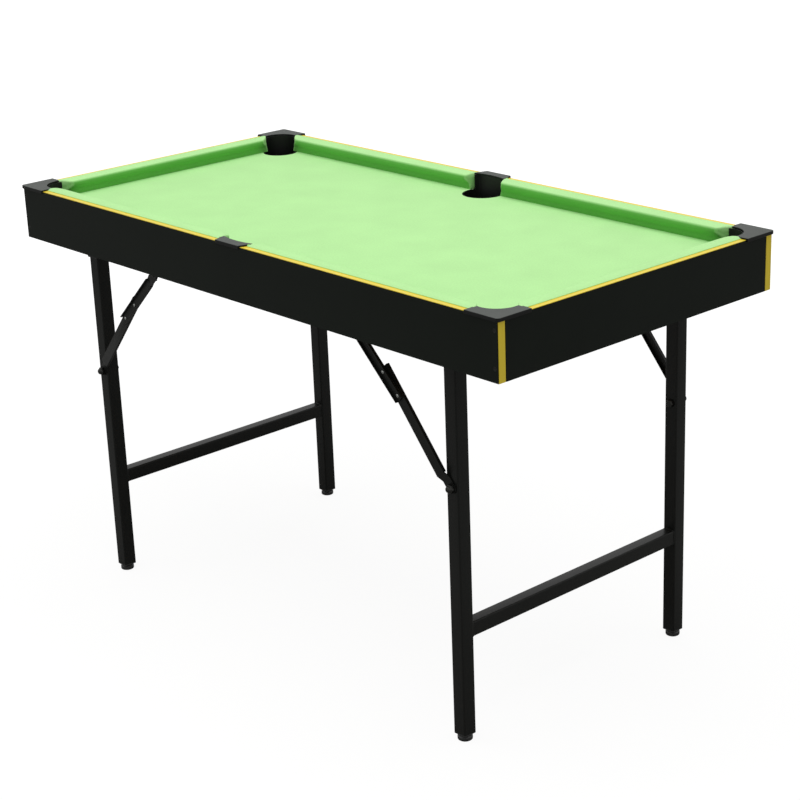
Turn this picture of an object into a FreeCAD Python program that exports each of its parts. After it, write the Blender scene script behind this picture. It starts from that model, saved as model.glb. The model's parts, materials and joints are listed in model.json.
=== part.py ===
"""Folding games table with a cloth bed, cushioned rails, six pockets and two folding leg frames.

The origin is on the floor under the middle of the table. +X runs along the length to the right,
+Y runs to the back and +Z up. Lengths are in millimetres.

Both leg frames fold inwards. The right one folds first and lies under the bed, and the left one
folds below it, so its pivots sit lower by one frame step.
"""
import FreeCAD, Part
import math
import os

from FreeCAD import Placement, Rotation, Vector

doc = FreeCAD.newDocument("games_table")

# Driving sizes: alias, value, meaning
SIZES = (
    ("table_length", 1220, "outer face to outer face along X"),
    ("table_width", 610, "outer face to outer face along Y"),
    ("edging_top", 734, "floor to the top of the edging on the aprons"),
    ("apron_depth", 94, "edging top to apron bottom"),
    ("apron_thick", 15, "apron board"),
    ("edging_thick", 1, "edging tape"),
    ("edging_inset", 1, "apron arris left bare beside the tape"),
    ("bed_drop", 26, "edging top down to the cloth"),
    ("cloth_thick", 1, "playfield cloth"),
    ("board_thick", 9, "bed board"),
    ("rail_width", 24, "apron inner face to cushion nose"),
    ("rail_core_width", 12, "wood strip behind the cushion"),
    ("rail_cover", 2, "edging top down to the top of the wood strip"),
    ("rail_back_rise", 0.5, "cloth above the edging at the apron"),
    ("rail_crown", 2.5, "highest cloth above the edging"),
    ("nose_rise", 20, "nose above the bed cloth"),
    ("nose_round", 3.5, "rounding above the nose"),
    ("rail_undercut", 4, "cushion foot behind its nose"),
    ("corner_mouth_back", 64, "rail end from the crossing outer face, at the apron"),
    ("corner_mouth_nose", 76, "rail end from the crossing outer face, at the nose"),
    ("side_mouth_back", 40, "rail end from the middle of the table, at the apron"),
    ("side_mouth_nose", 43, "rail end from the middle of the table, at the nose"),
    ("corner_inset", 55, "corner pocket axis from both outer faces"),
    ("corner_hole", 33, "radius of the corner cut-out in the bed"),
    ("side_inset", 37, "side pocket axis from the outer face"),
    ("side_hole", 38, "radius of the side cut-out in the bed"),
    ("cup_gap", 0.3, "cup to its cut-out and to the apron"),
    ("cup_wall", 1.5, "cup wall and floor"),
    ("cup_depth", 38.5, "bed cloth to the underside of a cup"),
    ("corner_liner_reach", 66, "corner liner wall, from both outer faces"),
    ("side_liner_reach", 24, "side liner wall, from the outer face"),
    ("cap_thick", 3, "cap plate above the edging"),
    ("cap_overhang", 3, "cap past the outer faces"),
    ("cap_rim_gap", 0.3, "cap rim to the apron face"),
    ("cap_rim_drop", 3, "cap rim below the edging top"),
    ("cap_round", 6, "outer corner rounding of a corner cap"),
    ("cap_arm", 65, "corner cap arm, from the crossing outer face"),
    ("cap_neck", 63, "prong on the inside of the arm, from the crossing outer face"),
    ("cap_prong", 22, "tip of the prong from the arm's own outer face"),
    ("side_cap_outer", 30, "half length of a side cap at its outer edge"),
    ("side_cap_inner", 38, "half length of a side cap at its inner tips"),
    ("side_cap_tip", 22, "inner tips of a side cap from the outer face"),
    ("side_cap_waist", 16.8, "middle of its inner edge from the outer face"),
    ("screw_radius", 2, "wood screw shank"),
    ("screw_head", 3.5, "wood screw head radius"),
    ("screw_head_thick", 1.5, "wood screw head"),
    ("screw_length", 38, "apron screw"),
    ("screw_low", 21, "lower apron screw above the apron bottom"),
    ("screw_high", 17, "upper apron screw below the edging top"),
    ("screw_fit", 0.05, "radial room round a shank"),
    ("leg_inset", 146, "leg axis from the outer end face"),
    ("leg_side_inset", 54.5, "leg axis from the outer long face"),
    ("leg_width", 25, "square leg tube"),
    ("tube_wall", 1.5, "wall of the square tubes"),
    ("tube_round", 2.5, "outer corner rounding of the square tubes"),
    ("leg_base", 13, "lower end of the leg tube above the floor"),
    ("leg_above_pivot", 14, "leg tube above its pivot"),
    ("right_pivot_drop", 43, "bed underside to the right pivots"),
    ("frame_step", 27.5, "left pivots below the right ones"),
    ("stretcher_thick", 22, "stretcher along X"),
    ("stretcher_depth", 25, "stretcher height"),
    ("stretcher_top", 202, "floor to the top of the stretcher"),
    ("plug_wall_gap", 0.1, "plug to the inside of the tube"),
    ("plug_length", 20, "plug inside the tube"),
    ("plug_flange", 2, "plug flange on the tube end"),
    ("foot_radius", 12.2, "levelling foot disc"),
    ("foot_disc", 7, "disc thickness below its bevel"),
    ("foot_bevel", 2, "bevel on top of the disc"),
    ("foot_collar", 6.5, "collar radius"),
    ("foot_stud", 4, "stud radius"),
    ("foot_stud_length", 30, "stud above the collar"),
    ("running_fit", 0.05, "radial room of a moving pin or stud"),
    ("bolt_radius", 4, "pivot bolt and brace bolt"),
    ("bolt_head", 7, "bolt head and nut radius"),
    ("bolt_head_thick", 4.5, "bolt head and nut thickness"),
    ("dome_radius", 7.5, "dome nut radius"),
    ("dome_height", 9.5, "dome nut height"),
    ("ear_thick", 2, "sheet of all brackets"),
    ("ear_gap", 0.3, "ear to the leg, plate to plate and plate to leg"),
    ("ear_half", 14, "half width of a leg bracket ear along X"),
    ("ear_drop", 10, "ear below the pivot"),
    ("web_rise", 20, "pivot to the underside of the leg bracket web"),
    ("flange_width", 18, "leg bracket flange beside each ear"),
    ("bracket_screw_length", 18, "bracket screw shank in the batten"),
    ("batten_width", 32, "batten along X"),
    ("brace_drop", 225, "leg pivot down to the brace bolt"),
    ("bracket_reach", 207, "leg pivot to the upper brace pin, along X"),
    ("knee_slack", 0.45, "both arms together, longer than bolt to pin: sets the bend at the knee"),
    ("arm_width", 18, "width of a brace arm"),
    ("arm_depth", 5.7, "depth of its channel along Y"),
    ("arm_sheet", 2, "sheet of a brace arm"),
    ("arm_tab", 16, "flat tab from the pin to the step"),
    ("arm_step", 10, "length of the step from the tab to the channel"),
    ("arm_end", 7, "channel beyond the last rivet"),
    ("rivet_pitch", 44, "knee rivet to the second rivet"),
    ("rivet_radius", 2.5, "rivet and pin shank"),
    ("rivet_head", 4, "rivet and pin head radius"),
    ("rivet_head_thick", 1.8, "rivet and pin head thickness"),
    ("small_ear_half", 9, "half width of a brace bracket ear along X"),
    ("small_flange", 17, "brace bracket flange, inwards from its ear"),
    ("small_screw_length", 7, "brace bracket screw shank in the bed board"),
)

# Places worked out from the sizes: alias, formula
PLACES = (
    ("half_length", "sizes.table_length / 2"),
    ("half_width", "sizes.table_width / 2"),
    ("board_half", "half_length - sizes.edging_thick"),
    ("inner_x", "half_length - sizes.apron_thick"),
    ("inner_y", "half_width - sizes.apron_thick"),
    ("apron_base", "sizes.edging_top - sizes.apron_depth"),
    ("apron_board_top", "sizes.edging_top - sizes.edging_thick"),
    ("cloth_top", "sizes.edging_top - sizes.bed_drop"),
    ("board_top", "cloth_top - sizes.cloth_thick"),
    ("bed_base", "board_top - sizes.board_thick"),
    ("cup_base", "cloth_top - sizes.cup_depth"),
    ("leg_x", "half_length - sizes.leg_inset"),
    ("leg_y", "half_width - sizes.leg_side_inset"),
    ("leg_half", "sizes.leg_width / 2"),
    ("leg_outer", "leg_y + leg_half"),
    ("leg_inner", "leg_y - leg_half"),
    ("right_pivot", "bed_base - sizes.right_pivot_drop"),
    ("left_pivot", "right_pivot - sizes.frame_step"),
    ("foot_height", "sizes.foot_disc + sizes.foot_bevel"),
    ("flange_base", "sizes.leg_base - sizes.plug_flange"),
    ("ear_inner", "leg_inner - sizes.ear_gap - sizes.ear_thick"),
    ("ear_outer", "leg_outer + sizes.ear_gap + sizes.ear_thick"),
    ("screw_inner", "ear_inner - sizes.flange_width / 2"),
    ("screw_outer", "ear_outer + sizes.flange_width / 2"),
    ("leg_tab_in", "leg_outer + sizes.ear_gap"),
    ("lower_in", "ear_outer + sizes.ear_gap"),
    ("upper_in", "lower_in + sizes.arm_depth + sizes.ear_gap"),
    ("pin_in", "upper_in + sizes.arm_sheet"),
    ("pin_tab_in", "pin_in + sizes.ear_gap"),
    ("small_ear_in", "pin_tab_in + sizes.arm_sheet + sizes.ear_gap"),
    ("small_ear_out", "small_ear_in + sizes.ear_thick"),
    ("small_web_in", "small_ear_in - sizes.small_flange"),
    ("small_screw", "small_ear_in - sizes.small_flange / 2"),
    ("brace_pin_x", "leg_x - sizes.bracket_reach"),
    ("brace_span", "sqrt(sizes.bracket_reach ^ 2 + sizes.brace_drop ^ 2)"),
    ("lower_arm", "(brace_span + sizes.knee_slack + sizes.brace_drop - sizes.bracket_reach) / 2"),
    ("upper_arm", "lower_arm + sizes.bracket_reach - sizes.brace_drop"),
)

ROUND_EDGES = {"x": Vector(1, 0, 0), "y": Vector(0, 1, 0), "z": Vector(0, 0, 1)}
ENDS = (("left", -1), ("right", 1))
SIDES = (("front", -1), ("back", 1))
ALONG_Y = Rotation(Vector(1, 0, 0), -90)
AGAINST_Y = Rotation(Vector(1, 0, 0), 90)
ORIGIN = ("0", "0", "0")


def make_sheet(name, rows):
    """Make a spreadsheet with one row for each alias: alias, content, meaning."""
    sheet = doc.addObject("Spreadsheet::Sheet", name)
    for row, (alias, content, meaning) in enumerate(rows, start=1):
        sheet.set(f"A{row}", alias)
        sheet.set(f"B{row}", str(content))
        sheet.set(f"C{row}", meaning)
        sheet.setAlias(f"B{row}", alias)
    doc.recompute()
    return sheet


sizes = make_sheet("sizes", SIZES)
places = make_sheet("places", [(alias, "=" + formula, "worked out") for alias, formula in PLACES])
nodes = {}


def size(name):
    """Read one number from either sheet."""
    sheet = sizes if name in {row[0] for row in SIZES} else places
    return float(sheet.get(name))


def keep(name, thing):
    """Give a finished sub-part its label and put it on the list of pieces to write."""
    thing.Label = name
    nodes[name] = thing
    return thing


def bind(thing, at=None, turn=None, **formulas):
    """Tie properties of an object, and its place, to formulas in the sheets."""
    if turn is not None:
        thing.Placement = Placement(Vector(), turn)
    for prop, formula in formulas.items():
        thing.setExpression(prop, formula)
    for axis, formula in zip("xyz", at or ()):
        thing.setExpression("Placement.Base." + axis, formula)
    return thing


def low(side, near, far):
    """Formula of the lower end of a span from near to far on one side of the middle."""
    return near if side > 0 else f"-({far})"


def body(name, at=ORIGIN):
    """Start a PartDesign body at a place."""
    return bind(doc.addObject("PartDesign::Body", name), at)


def feature(parent, kind, at=ORIGIN, turn=None, **formulas):
    """Add one bound PartDesign primitive to a body."""
    item = parent.newObject("PartDesign::" + kind, f"{parent.Name}_{kind}")
    return bind(item, at, turn, **formulas)


def round_off(parent, last, axis, radius):
    """Fillet the edges of a body's last feature that run along one axis."""
    doc.recompute()
    along = ROUND_EDGES[axis]
    names = [
        f"Edge{number}"
        for number, edge in enumerate(last.Shape.Edges, start=1)
        if abs(abs(edge.tangentAt(edge.FirstParameter).dot(along)) - 1) < 1e-6
    ]
    fillet = parent.newObject("PartDesign::Fillet", parent.Name + "_rounding")
    fillet.Base = (last, names)
    fillet.setExpression("Radius", radius)
    return fillet


def group(name, members):
    """Keep several like solids as one sub-part."""
    compound = doc.addObject("Part::Compound", name)
    compound.Links = members
    return keep(name, compound)


def shaped(name, shape, placement=Placement()):
    """Hold a shape worked out in code, placed afterwards."""
    thing = doc.addObject("Part::Feature", name)
    thing.Shape = shape
    thing.Placement = placement
    return thing


# Aprons and edging


def long_aprons():
    """Front and back boards with the screw holes at their ends."""
    for name, side in SIDES:
        board = body(name + "_apron", ("0", low(side, "places.inner_y", "places.half_width"), "0"))
        feature(board, "AdditiveBox", ("-places.board_half", "0", "places.apron_base"),
                Length="2 * places.board_half", Width="sizes.apron_thick",
                Height="places.apron_board_top - places.apron_base")
        for _, end in ENDS:
            for height in SCREW_HEIGHTS:
                where = (f"{end} * (places.half_length - sizes.apron_thick / 2)",
                         "0" if side < 0 else "sizes.apron_thick", height)
                turn = ALONG_Y if side < 0 else AGAINST_Y
                feature(board, "SubtractiveCylinder", where, turn, Height="sizes.apron_thick",
                        Radius="sizes.screw_radius + sizes.screw_fit")
                feature(board, "SubtractiveCylinder", where, turn, Height="sizes.screw_head_thick",
                        Radius="sizes.screw_head + sizes.screw_fit")
        keep(name + "_apron", board)


def end_aprons():
    """Left and right boards between the long ones, drilled for the screws."""
    for name, end in ENDS:
        board = body(name + "_apron", (low(end, "places.inner_x", "places.half_length"), "0", "0"))
        feature(board, "AdditiveBox", ("0", "-places.inner_y", "places.apron_base"),
                Length="sizes.apron_thick", Width="2 * places.inner_y",
                Height="places.apron_board_top - places.apron_base")
        for _, side in SIDES:
            for height in SCREW_HEIGHTS:
                feature(board, "SubtractiveCylinder",
                        ("sizes.apron_thick / 2", f"{side} * places.inner_y", height),
                        ALONG_Y if side < 0 else AGAINST_Y,
                        Height="sizes.screw_length - sizes.apron_thick + sizes.screw_head_thick",
                        Radius="sizes.screw_radius + sizes.screw_fit")
        keep(name + "_apron", board)


SCREW_HEIGHTS = ("places.apron_base + sizes.screw_low", "sizes.edging_top - sizes.screw_high")


def edging():
    """Tape on the top edges of the aprons and on the upright ends of the long ones."""
    strip = "sizes.apron_thick - 2 * sizes.edging_inset"
    for name, side in SIDES:
        near = low(side, "places.inner_y + sizes.edging_inset", "places.half_width - sizes.edging_inset")
        members = [bind(doc.addObject("Part::Box", name + "_top_tape"),
                        ("-places.board_half", near, "places.apron_board_top"),
                        Length="2 * places.board_half", Width=strip, Height="sizes.edging_thick")]
        for _, end in ENDS:
            members.append(bind(doc.addObject("Part::Box", name + "_end_tape"),
                                (low(end, "places.board_half", "places.half_length"), near,
                                 "places.apron_base"),
                                Length="sizes.edging_thick", Width=strip,
                                Height="places.apron_board_top - places.apron_base"))
        group(name + "_edging", members)
    members = []
    for name, end in ENDS:
        near = low(end, "places.inner_x + sizes.edging_inset", "places.half_length - sizes.edging_inset")
        members.append(bind(doc.addObject("Part::Box", name + "_tape"),
                            (near, "-places.inner_y", "places.apron_board_top"),
                            Length=strip, Width="2 * places.inner_y", Height="sizes.edging_thick"))
    group("end_edgings", members)


def screw(name, at, turn, length, head="sizes.screw_head_thick"):
    """One wood screw: head, then shank, along its own axis."""
    item = body(name)
    bind(item, at, turn)
    feature(item, "AdditiveCylinder", Radius="sizes.screw_head", Height=head)
    feature(item, "AdditiveCylinder", ("0", "0", head), Radius="sizes.screw_radius", Height=length)
    return item


def apron_screws():
    """Eight screws through the long aprons into the ends of the short ones."""
    members = []
    for _, side in SIDES:
        for _, end in ENDS:
            for height in SCREW_HEIGHTS:
                where = (f"{end} * (places.half_length - sizes.apron_thick / 2)",
                         f"{side} * places.half_width", height)
                members.append(screw("apron_screw", where, ALONG_Y if side < 0 else AGAINST_Y,
                                     "sizes.screw_length - sizes.screw_head_thick"))
    group("apron_screws", members)


# Bed


def bed():
    """Bed board and its cloth, with the six pocket cut-outs."""
    layers = (("bed_board", "places.bed_base", "sizes.board_thick"),
              ("bed_cloth", "places.board_top", "sizes.cloth_thick"))
    for name, base, thick in layers:
        layer = body(name, ("0", "0", base))
        feature(layer, "AdditiveBox", ("-places.inner_x", "-places.inner_y", "0"),
                Length="2 * places.inner_x", Width="2 * places.inner_y", Height=thick)
        for _, side in SIDES:
            for _, end in ENDS:
                feature(layer, "SubtractiveCylinder",
                        (f"{end} * (places.half_length - sizes.corner_inset)",
                         f"{side} * (places.half_width - sizes.corner_inset)", "0"),
                        Radius="sizes.corner_hole", Height=thick)
            feature(layer, "SubtractiveCylinder",
                    ("0", f"{side} * (places.half_width - sizes.side_inset)", "0"),
                    Radius="sizes.side_hole", Height=thick)
        if name == "bed_board":
            for _, end in ENDS:
                for _, side in SIDES:
                    feature(layer, "SubtractiveCylinder",
                            (f"{end} * places.brace_pin_x", f"{side} * places.small_screw", "0"),
                            Radius="sizes.screw_radius + sizes.screw_fit",
                            Height="sizes.small_screw_length")
        keep(name, layer)


def battens():
    """Wood across the underside that carries the leg brackets; the left one is deeper."""
    members = []
    for name, end in ENDS:
        base = f"(places.{name}_pivot + sizes.web_rise + sizes.ear_thick)"
        batten = body(name + "_batten", (f"{end} * places.leg_x", "0", base))
        feature(batten, "AdditiveBox", ("-sizes.batten_width / 2", "-places.inner_y", "0"),
                Length="sizes.batten_width", Width="2 * places.inner_y",
                Height=f"places.bed_base - {base}")
        for _, side in SIDES:
            for where in ("places.screw_inner", "places.screw_outer"):
                feature(batten, "SubtractiveCylinder", ("0", f"{side} * {where}", "0"),
                        Radius="sizes.screw_radius + sizes.screw_fit",
                        Height="sizes.bracket_screw_length")
        members.append(batten)
    group("battens", members)


# Rails


def rail_plan(start_back, start_nose, end_back, end_nose, depth, base, height):
    """Upright prism over a rail's plan, between its slanted ends, from the apron inwards.

    Each end runs in a straight line from its place at the apron to its place at the nose.
    """
    share = depth / size("rail_width")
    points = [
        Vector(start_back, 0, base),
        Vector(end_back, 0, base),
        Vector(end_back + (end_nose - end_back) * share, depth, base),
        Vector(start_back + (start_nose - start_back) * share, depth, base),
    ]
    face = Part.Face(Part.makePolygon(points + points[:1]))
    return face.extrude(Vector(0, 0, height))


def cushion_profile(start):
    """Cross-section of a cushion: crown over the wood strip, round nose and leaning face."""
    top = size("edging_top")
    foot = size("cloth_top")
    width = size("rail_width")
    core = size("rail_core_width")
    core_top = top - size("rail_cover")
    nose = foot + size("nose_rise")
    crown_share, shoulder_share = 0.35, 0.3

    def at(inwards, height):
        return Vector(start, inwards, height)

    back = at(0, top + size("rail_back_rise"))
    crown = at(width * crown_share, top + size("rail_crown"))
    shoulder = at(width - size("nose_round"), top + size("rail_crown") * shoulder_share)
    tip = at(width, nose)
    bend = (shoulder + tip) * 0.5 + Vector(0, 1, 1) * (size("nose_round") * shoulder_share)
    edges = [
        Part.Arc(back, crown, shoulder).toShape(),
        Part.Arc(shoulder, bend, tip).toShape(),
        Part.makeLine(tip, at(width - size("rail_undercut"), foot)),
        Part.makeLine(at(width - size("rail_undercut"), foot), at(core, foot)),
        Part.makeLine(at(core, foot), at(core, core_top)),
        Part.makeLine(at(core, core_top), at(0, core_top)),
        Part.makeLine(at(0, core_top), back),
    ]
    return Part.Face(Part.Wire(edges))


def rails():
    """Six wood strips and their cushions, each with slanted ends at the pockets."""
    half_x, half_y = size("half_length"), size("half_width")
    corner_back, corner_nose = size("corner_mouth_back"), size("corner_mouth_nose")
    side_back, side_nose = size("side_mouth_back"), size("side_mouth_nose")
    first = (corner_back - half_x, corner_nose - half_x, -side_back, -side_nose)
    second = tuple(-value for value in first[2:] + first[:2])
    whole = (corner_back - half_y, corner_nose - half_y, half_y - corner_back, half_y - corner_nose)
    front, back = Vector(0, -size("inner_y"), 0), Vector(0, size("inner_y"), 0)
    left, right = Vector(-size("inner_x"), 0, 0), Vector(size("inner_x"), 0, 0)
    runs = (
        ("front_left", first, front, 0),
        ("front_right", second, front, 0),
        ("back_right", first, back, 180),
        ("back_left", second, back, 180),
        ("left", whole, left, -90),
        ("right", whole, right, 90),
    )
    foot = size("cloth_top")
    rise = size("edging_top") + size("rail_crown") - foot
    core_height = size("edging_top") - size("rail_cover") - foot
    for name, ends, where, angle in runs:
        placement = Placement(where, Rotation(Vector(0, 0, 1), angle))
        core = rail_plan(*ends, size("rail_core_width"), foot, core_height)
        keep(name + "_rail", shaped(name + "_rail", core, placement))
        start, length = ends[0], ends[2] - ends[0]
        bar = cushion_profile(start).extrude(Vector(length, 0, 0))
        plan = rail_plan(*ends, size("rail_width"), foot, rise)
        cushion = bar.common(plan).Solids[0]
        keep(name + "_cushion", shaped(name + "_cushion", cushion, placement))


# Pockets, drawn for the front left corner with X and Y inwards from the outer faces


def corner_window():
    """Inner outline of a corner cap: square arm ends, two prongs and the arc between them."""
    arm, neck, prong = size("cap_arm"), size("cap_neck"), size("cap_prong")
    edge = size("apron_thick")
    diagonal = size("corner_inset") - size("corner_hole") * math.sqrt(0.5)
    first, last = Vector(neck, prong), Vector(prong, neck)
    line = [Vector(arm, edge), Vector(neck, edge), first]
    back = [last, Vector(edge, neck), Vector(edge, arm), Vector(arm, arm), Vector(arm, edge)]
    edges = [Part.makeLine(a, b) for a, b in zip(line, line[1:])]
    edges.append(Part.Arc(first, Vector(diagonal, diagonal), last).toShape())
    edges += [Part.makeLine(a, b) for a, b in zip(back, back[1:])]
    return Part.Face(Part.Wire(edges))


def corner_cap():
    """Cap plate with a turned-down rim outside the aprons."""
    over, arm = size("cap_overhang"), size("cap_arm")
    height = size("cap_rim_drop") + size("cap_thick")
    plate = Part.makeBox(arm + over, arm + over, height, Vector(-over, -over, 0))
    corner = [edge for edge in plate.Edges if abs(edge.CenterOfMass.x + over) < over
              and abs(edge.CenterOfMass.y + over) < over]
    plate = plate.makeFillet(size("cap_round"), corner)
    gap = size("cap_rim_gap")
    rim = Part.makeBox(arm + gap, arm + gap, size("cap_rim_drop"), Vector(-gap, -gap, 0))
    return plate.cut(rim).cut(corner_window().extrude(Vector(0, 0, height)))


def side_cap():
    """Narrow cap at the middle of a long side, with splayed ends and a shallow inner arc."""
    over, gap = size("cap_overhang"), size("cap_rim_gap")
    outer, inner = size("side_cap_outer"), size("side_cap_inner")
    tip, waist = size("side_cap_tip"), size("side_cap_waist")
    height = size("cap_rim_drop") + size("cap_thick")
    corners = [Vector(-inner, tip), Vector(-outer, -over), Vector(outer, -over), Vector(inner, tip)]
    edges = [Part.makeLine(a, b) for a, b in zip(corners, corners[1:])]
    edges.append(Part.Arc(corners[-1], Vector(0, waist), corners[0]).toShape())
    plate = Part.Face(Part.Wire(edges)).extrude(Vector(0, 0, height))
    below = Part.makeBox(2 * inner, tip + gap, size("cap_rim_drop"), Vector(-inner, -gap, 0))
    return plate.cut(below)


def cup(radius, centre, flat, liner):
    """Open cup with a liner wall that rises to the cap on the side away from the bed.

    flat is the flat wall's place from the outer face, and liner the box that the rising wall
    stays in, as its two reaches along X and its reach along Y.
    """
    wall = size("cup_wall")
    deep = size("cup_depth")
    tall = deep + size("bed_drop")

    def drum(shrink, base, height):
        whole = Part.makeCylinder(radius - shrink, height, centre + Vector(0, 0, base))
        trim = Part.makeBox(2 * radius, 2 * radius, height,
                            Vector(centre.x - radius, flat + shrink, base))
        return whole.common(trim)

    start, end, reach = liner
    shell = drum(0, 0, tall).cut(drum(wall, wall, tall - wall))
    low_half = Part.makeBox(4 * radius, 4 * radius, deep, centre - Vector(2, 2, 0) * radius)
    rising = Part.makeBox(end - start, reach, tall - deep, Vector(start, 0, deep))
    return shell.common(low_half.fuse(rising)).removeSplitter()


def pockets():
    """Caps and cups: four corners turned into place, and a front and a back side pocket."""
    half_x, half_y = size("half_length"), size("half_width")
    inset, side_inset = size("corner_inset"), size("side_inset")
    gap = size("cup_gap")
    cap_base = size("edging_top") - size("cap_rim_drop")
    cup_base = size("cup_base")
    reach = size("corner_liner_reach")
    hole, side_hole = size("corner_hole"), size("side_hole")
    corner_cup = cup(hole - gap, Vector(inset, inset, 0), inset - hole, (0, reach, reach))
    side_cup = cup(side_hole - gap, Vector(0, side_inset, 0), size("apron_thick") + gap,
                   (-side_hole, side_hole, size("side_liner_reach")))
    corners = (
        ("front_left", -1, -1, 0),
        ("front_right", 1, -1, 90),
        ("back_right", 1, 1, 180),
        ("back_left", -1, 1, -90),
    )
    for name, end, side, angle in corners:
        turn = Rotation(Vector(0, 0, 1), angle)
        at = Vector(end * half_x, side * half_y, 0)
        keep(name + "_cap", shaped(name + "_cap", corner_cap(),
                                   Placement(at + Vector(0, 0, cap_base), turn)))
        keep(name + "_cup", shaped(name + "_cup", corner_cup,
                                   Placement(at + Vector(0, 0, cup_base), turn)))
    for name, side in SIDES:
        turn = Rotation(Vector(0, 0, 1), 0 if side < 0 else 180)
        at = Vector(0, side * half_y, 0)
        keep(name + "_side_cap", shaped(name + "_side_cap", side_cap(),
                                        Placement(at + Vector(0, 0, cap_base), turn)))
        keep(name + "_side_cup", shaped(name + "_side_cup", side_cup,
                                        Placement(at + Vector(0, 0, cup_base), turn)))


# Brackets, bolts and pins on the table


def leg_brackets():
    """Four folded sheet brackets: web and flanges under the batten, ears beside the leg."""
    members = []
    for name, end in ENDS:
        pivot = f"places.{name}_pivot"
        for _, side in SIDES:
            bracket = body(name + "_leg_bracket", (f"{end} * places.leg_x", "0", pivot))
            near = f"{side} * places.leg_y"
            feature(bracket, "AdditiveBox",
                    ("-sizes.ear_half",
                     low(side, "places.ear_inner - sizes.flange_width",
                         "places.ear_outer + sizes.flange_width"), "sizes.web_rise"),
                    Length="2 * sizes.ear_half", Height="sizes.ear_thick",
                    Width="places.ear_outer - places.ear_inner + 2 * sizes.flange_width")
            for start in ("places.ear_inner", "places.ear_outer - sizes.ear_thick"):
                feature(bracket, "AdditiveBox",
                        ("-sizes.ear_half", low(side, start, start + " + sizes.ear_thick"),
                         "-sizes.ear_drop"),
                        Length="2 * sizes.ear_half", Width="sizes.ear_thick",
                        Height="sizes.ear_drop + sizes.web_rise")
            feature(bracket, "SubtractiveCylinder", ("0", f"{near} - sizes.leg_width", "0"), ALONG_Y,
                    Radius="sizes.bolt_radius + sizes.screw_fit", Height="2 * sizes.leg_width")
            for where in ("places.screw_inner", "places.screw_outer"):
                feature(bracket, "SubtractiveCylinder",
                        ("0", f"{side} * {where}", "sizes.web_rise"),
                        Radius="sizes.screw_radius + sizes.screw_fit", Height="sizes.ear_thick")
            members.append(bracket)
    group("leg_brackets", members)


def brace_brackets():
    """Four small angle brackets under the bed for the upper ends of the braces."""
    members = []
    for name, end in ENDS:
        pivot = f"places.{name}_pivot"
        for _, side in SIDES:
            bracket = body(name + "_brace_bracket", (f"{end} * places.brace_pin_x", "0", pivot))
            web = f"places.bed_base - {pivot} - sizes.ear_thick"
            feature(bracket, "AdditiveBox",
                    ("-sizes.small_ear_half",
                     low(side, "places.small_web_in", "places.small_ear_out"), web),
                    Length="2 * sizes.small_ear_half", Height="sizes.ear_thick",
                    Width="places.small_ear_out - places.small_web_in")
            ear = low(side, "places.small_ear_in", "places.small_ear_out")
            feature(bracket, "AdditiveBox",
                    ("-sizes.small_ear_half", ear, "-sizes.small_ear_half"),
                    Length="2 * sizes.small_ear_half", Width="sizes.ear_thick",
                    Height=f"{web} + sizes.small_ear_half")
            feature(bracket, "SubtractiveCylinder", ("0", ear, "0"), ALONG_Y,
                    Radius="sizes.rivet_radius + sizes.screw_fit", Height="sizes.ear_thick")
            feature(bracket, "SubtractiveCylinder", ("0", f"{side} * places.small_screw", web),
                    Radius="sizes.screw_radius + sizes.screw_fit", Height="sizes.ear_thick")
            members.append(bracket)
    group("brace_brackets", members)


def bracket_screws():
    """Screws that hold the brackets up into the battens and the bed board."""
    members = []
    for name, end in ENDS:
        for _, side in SIDES:
            for where in ("places.screw_inner", "places.screw_outer"):
                members.append(screw(
                    "leg_bracket_screw",
                    (f"{end} * places.leg_x", f"{side} * {where}",
                     f"places.{name}_pivot + sizes.web_rise - sizes.screw_head_thick"),
                    Rotation(), "sizes.bracket_screw_length"))
            members.append(screw(
                "brace_bracket_screw",
                (f"{end} * places.brace_pin_x", f"{side} * places.small_screw",
                 "places.bed_base - sizes.ear_thick - sizes.screw_head_thick"),
                Rotation(), "sizes.small_screw_length"))
    group("bracket_screws", members)


def spindle(name, at, turn, shank, length, heads):
    """Shank along its own axis with a head at each end: head radius and thickness pairs."""
    item = body(name)
    bind(item, at, turn)
    feature(item, "AdditiveCylinder", Radius=shank, Height=length)
    (first, first_thick), (last, last_thick) = heads
    feature(item, "AdditiveCylinder", ("0", "0", f"-({first_thick})"),
            Radius=first, Height=first_thick)
    feature(item, "AdditiveCylinder", ("0", "0", length), Radius=last, Height=last_thick)
    return item


def pivot_bolts():
    """Bolts through the leg brackets on which the leg frames fold."""
    members = []
    head = ("sizes.bolt_head", "sizes.bolt_head_thick")
    for name, end in ENDS:
        for _, side in SIDES:
            members.append(spindle(
                name + "_pivot_bolt",
                (f"{end} * places.leg_x", f"{side} * places.ear_inner", f"places.{name}_pivot"),
                ALONG_Y if side > 0 else AGAINST_Y, "sizes.bolt_radius",
                "places.ear_outer - places.ear_inner", (head, head)))
    group("pivot_bolts", members)


def brace_pins():
    """Pins through the brace brackets that carry the upper arms."""
    members = []
    head = ("sizes.rivet_head", "sizes.rivet_head_thick")
    for name, end in ENDS:
        for _, side in SIDES:
            members.append(spindle(
                name + "_brace_pin",
                (f"{end} * places.brace_pin_x", f"{side} * places.pin_in",
                 f"places.{name}_pivot"),
                ALONG_Y if side > 0 else AGAINST_Y, "sizes.rivet_radius",
                "places.small_ear_out - places.pin_in", (head, head)))
    group("brace_pins", members)


# Leg frames


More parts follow.
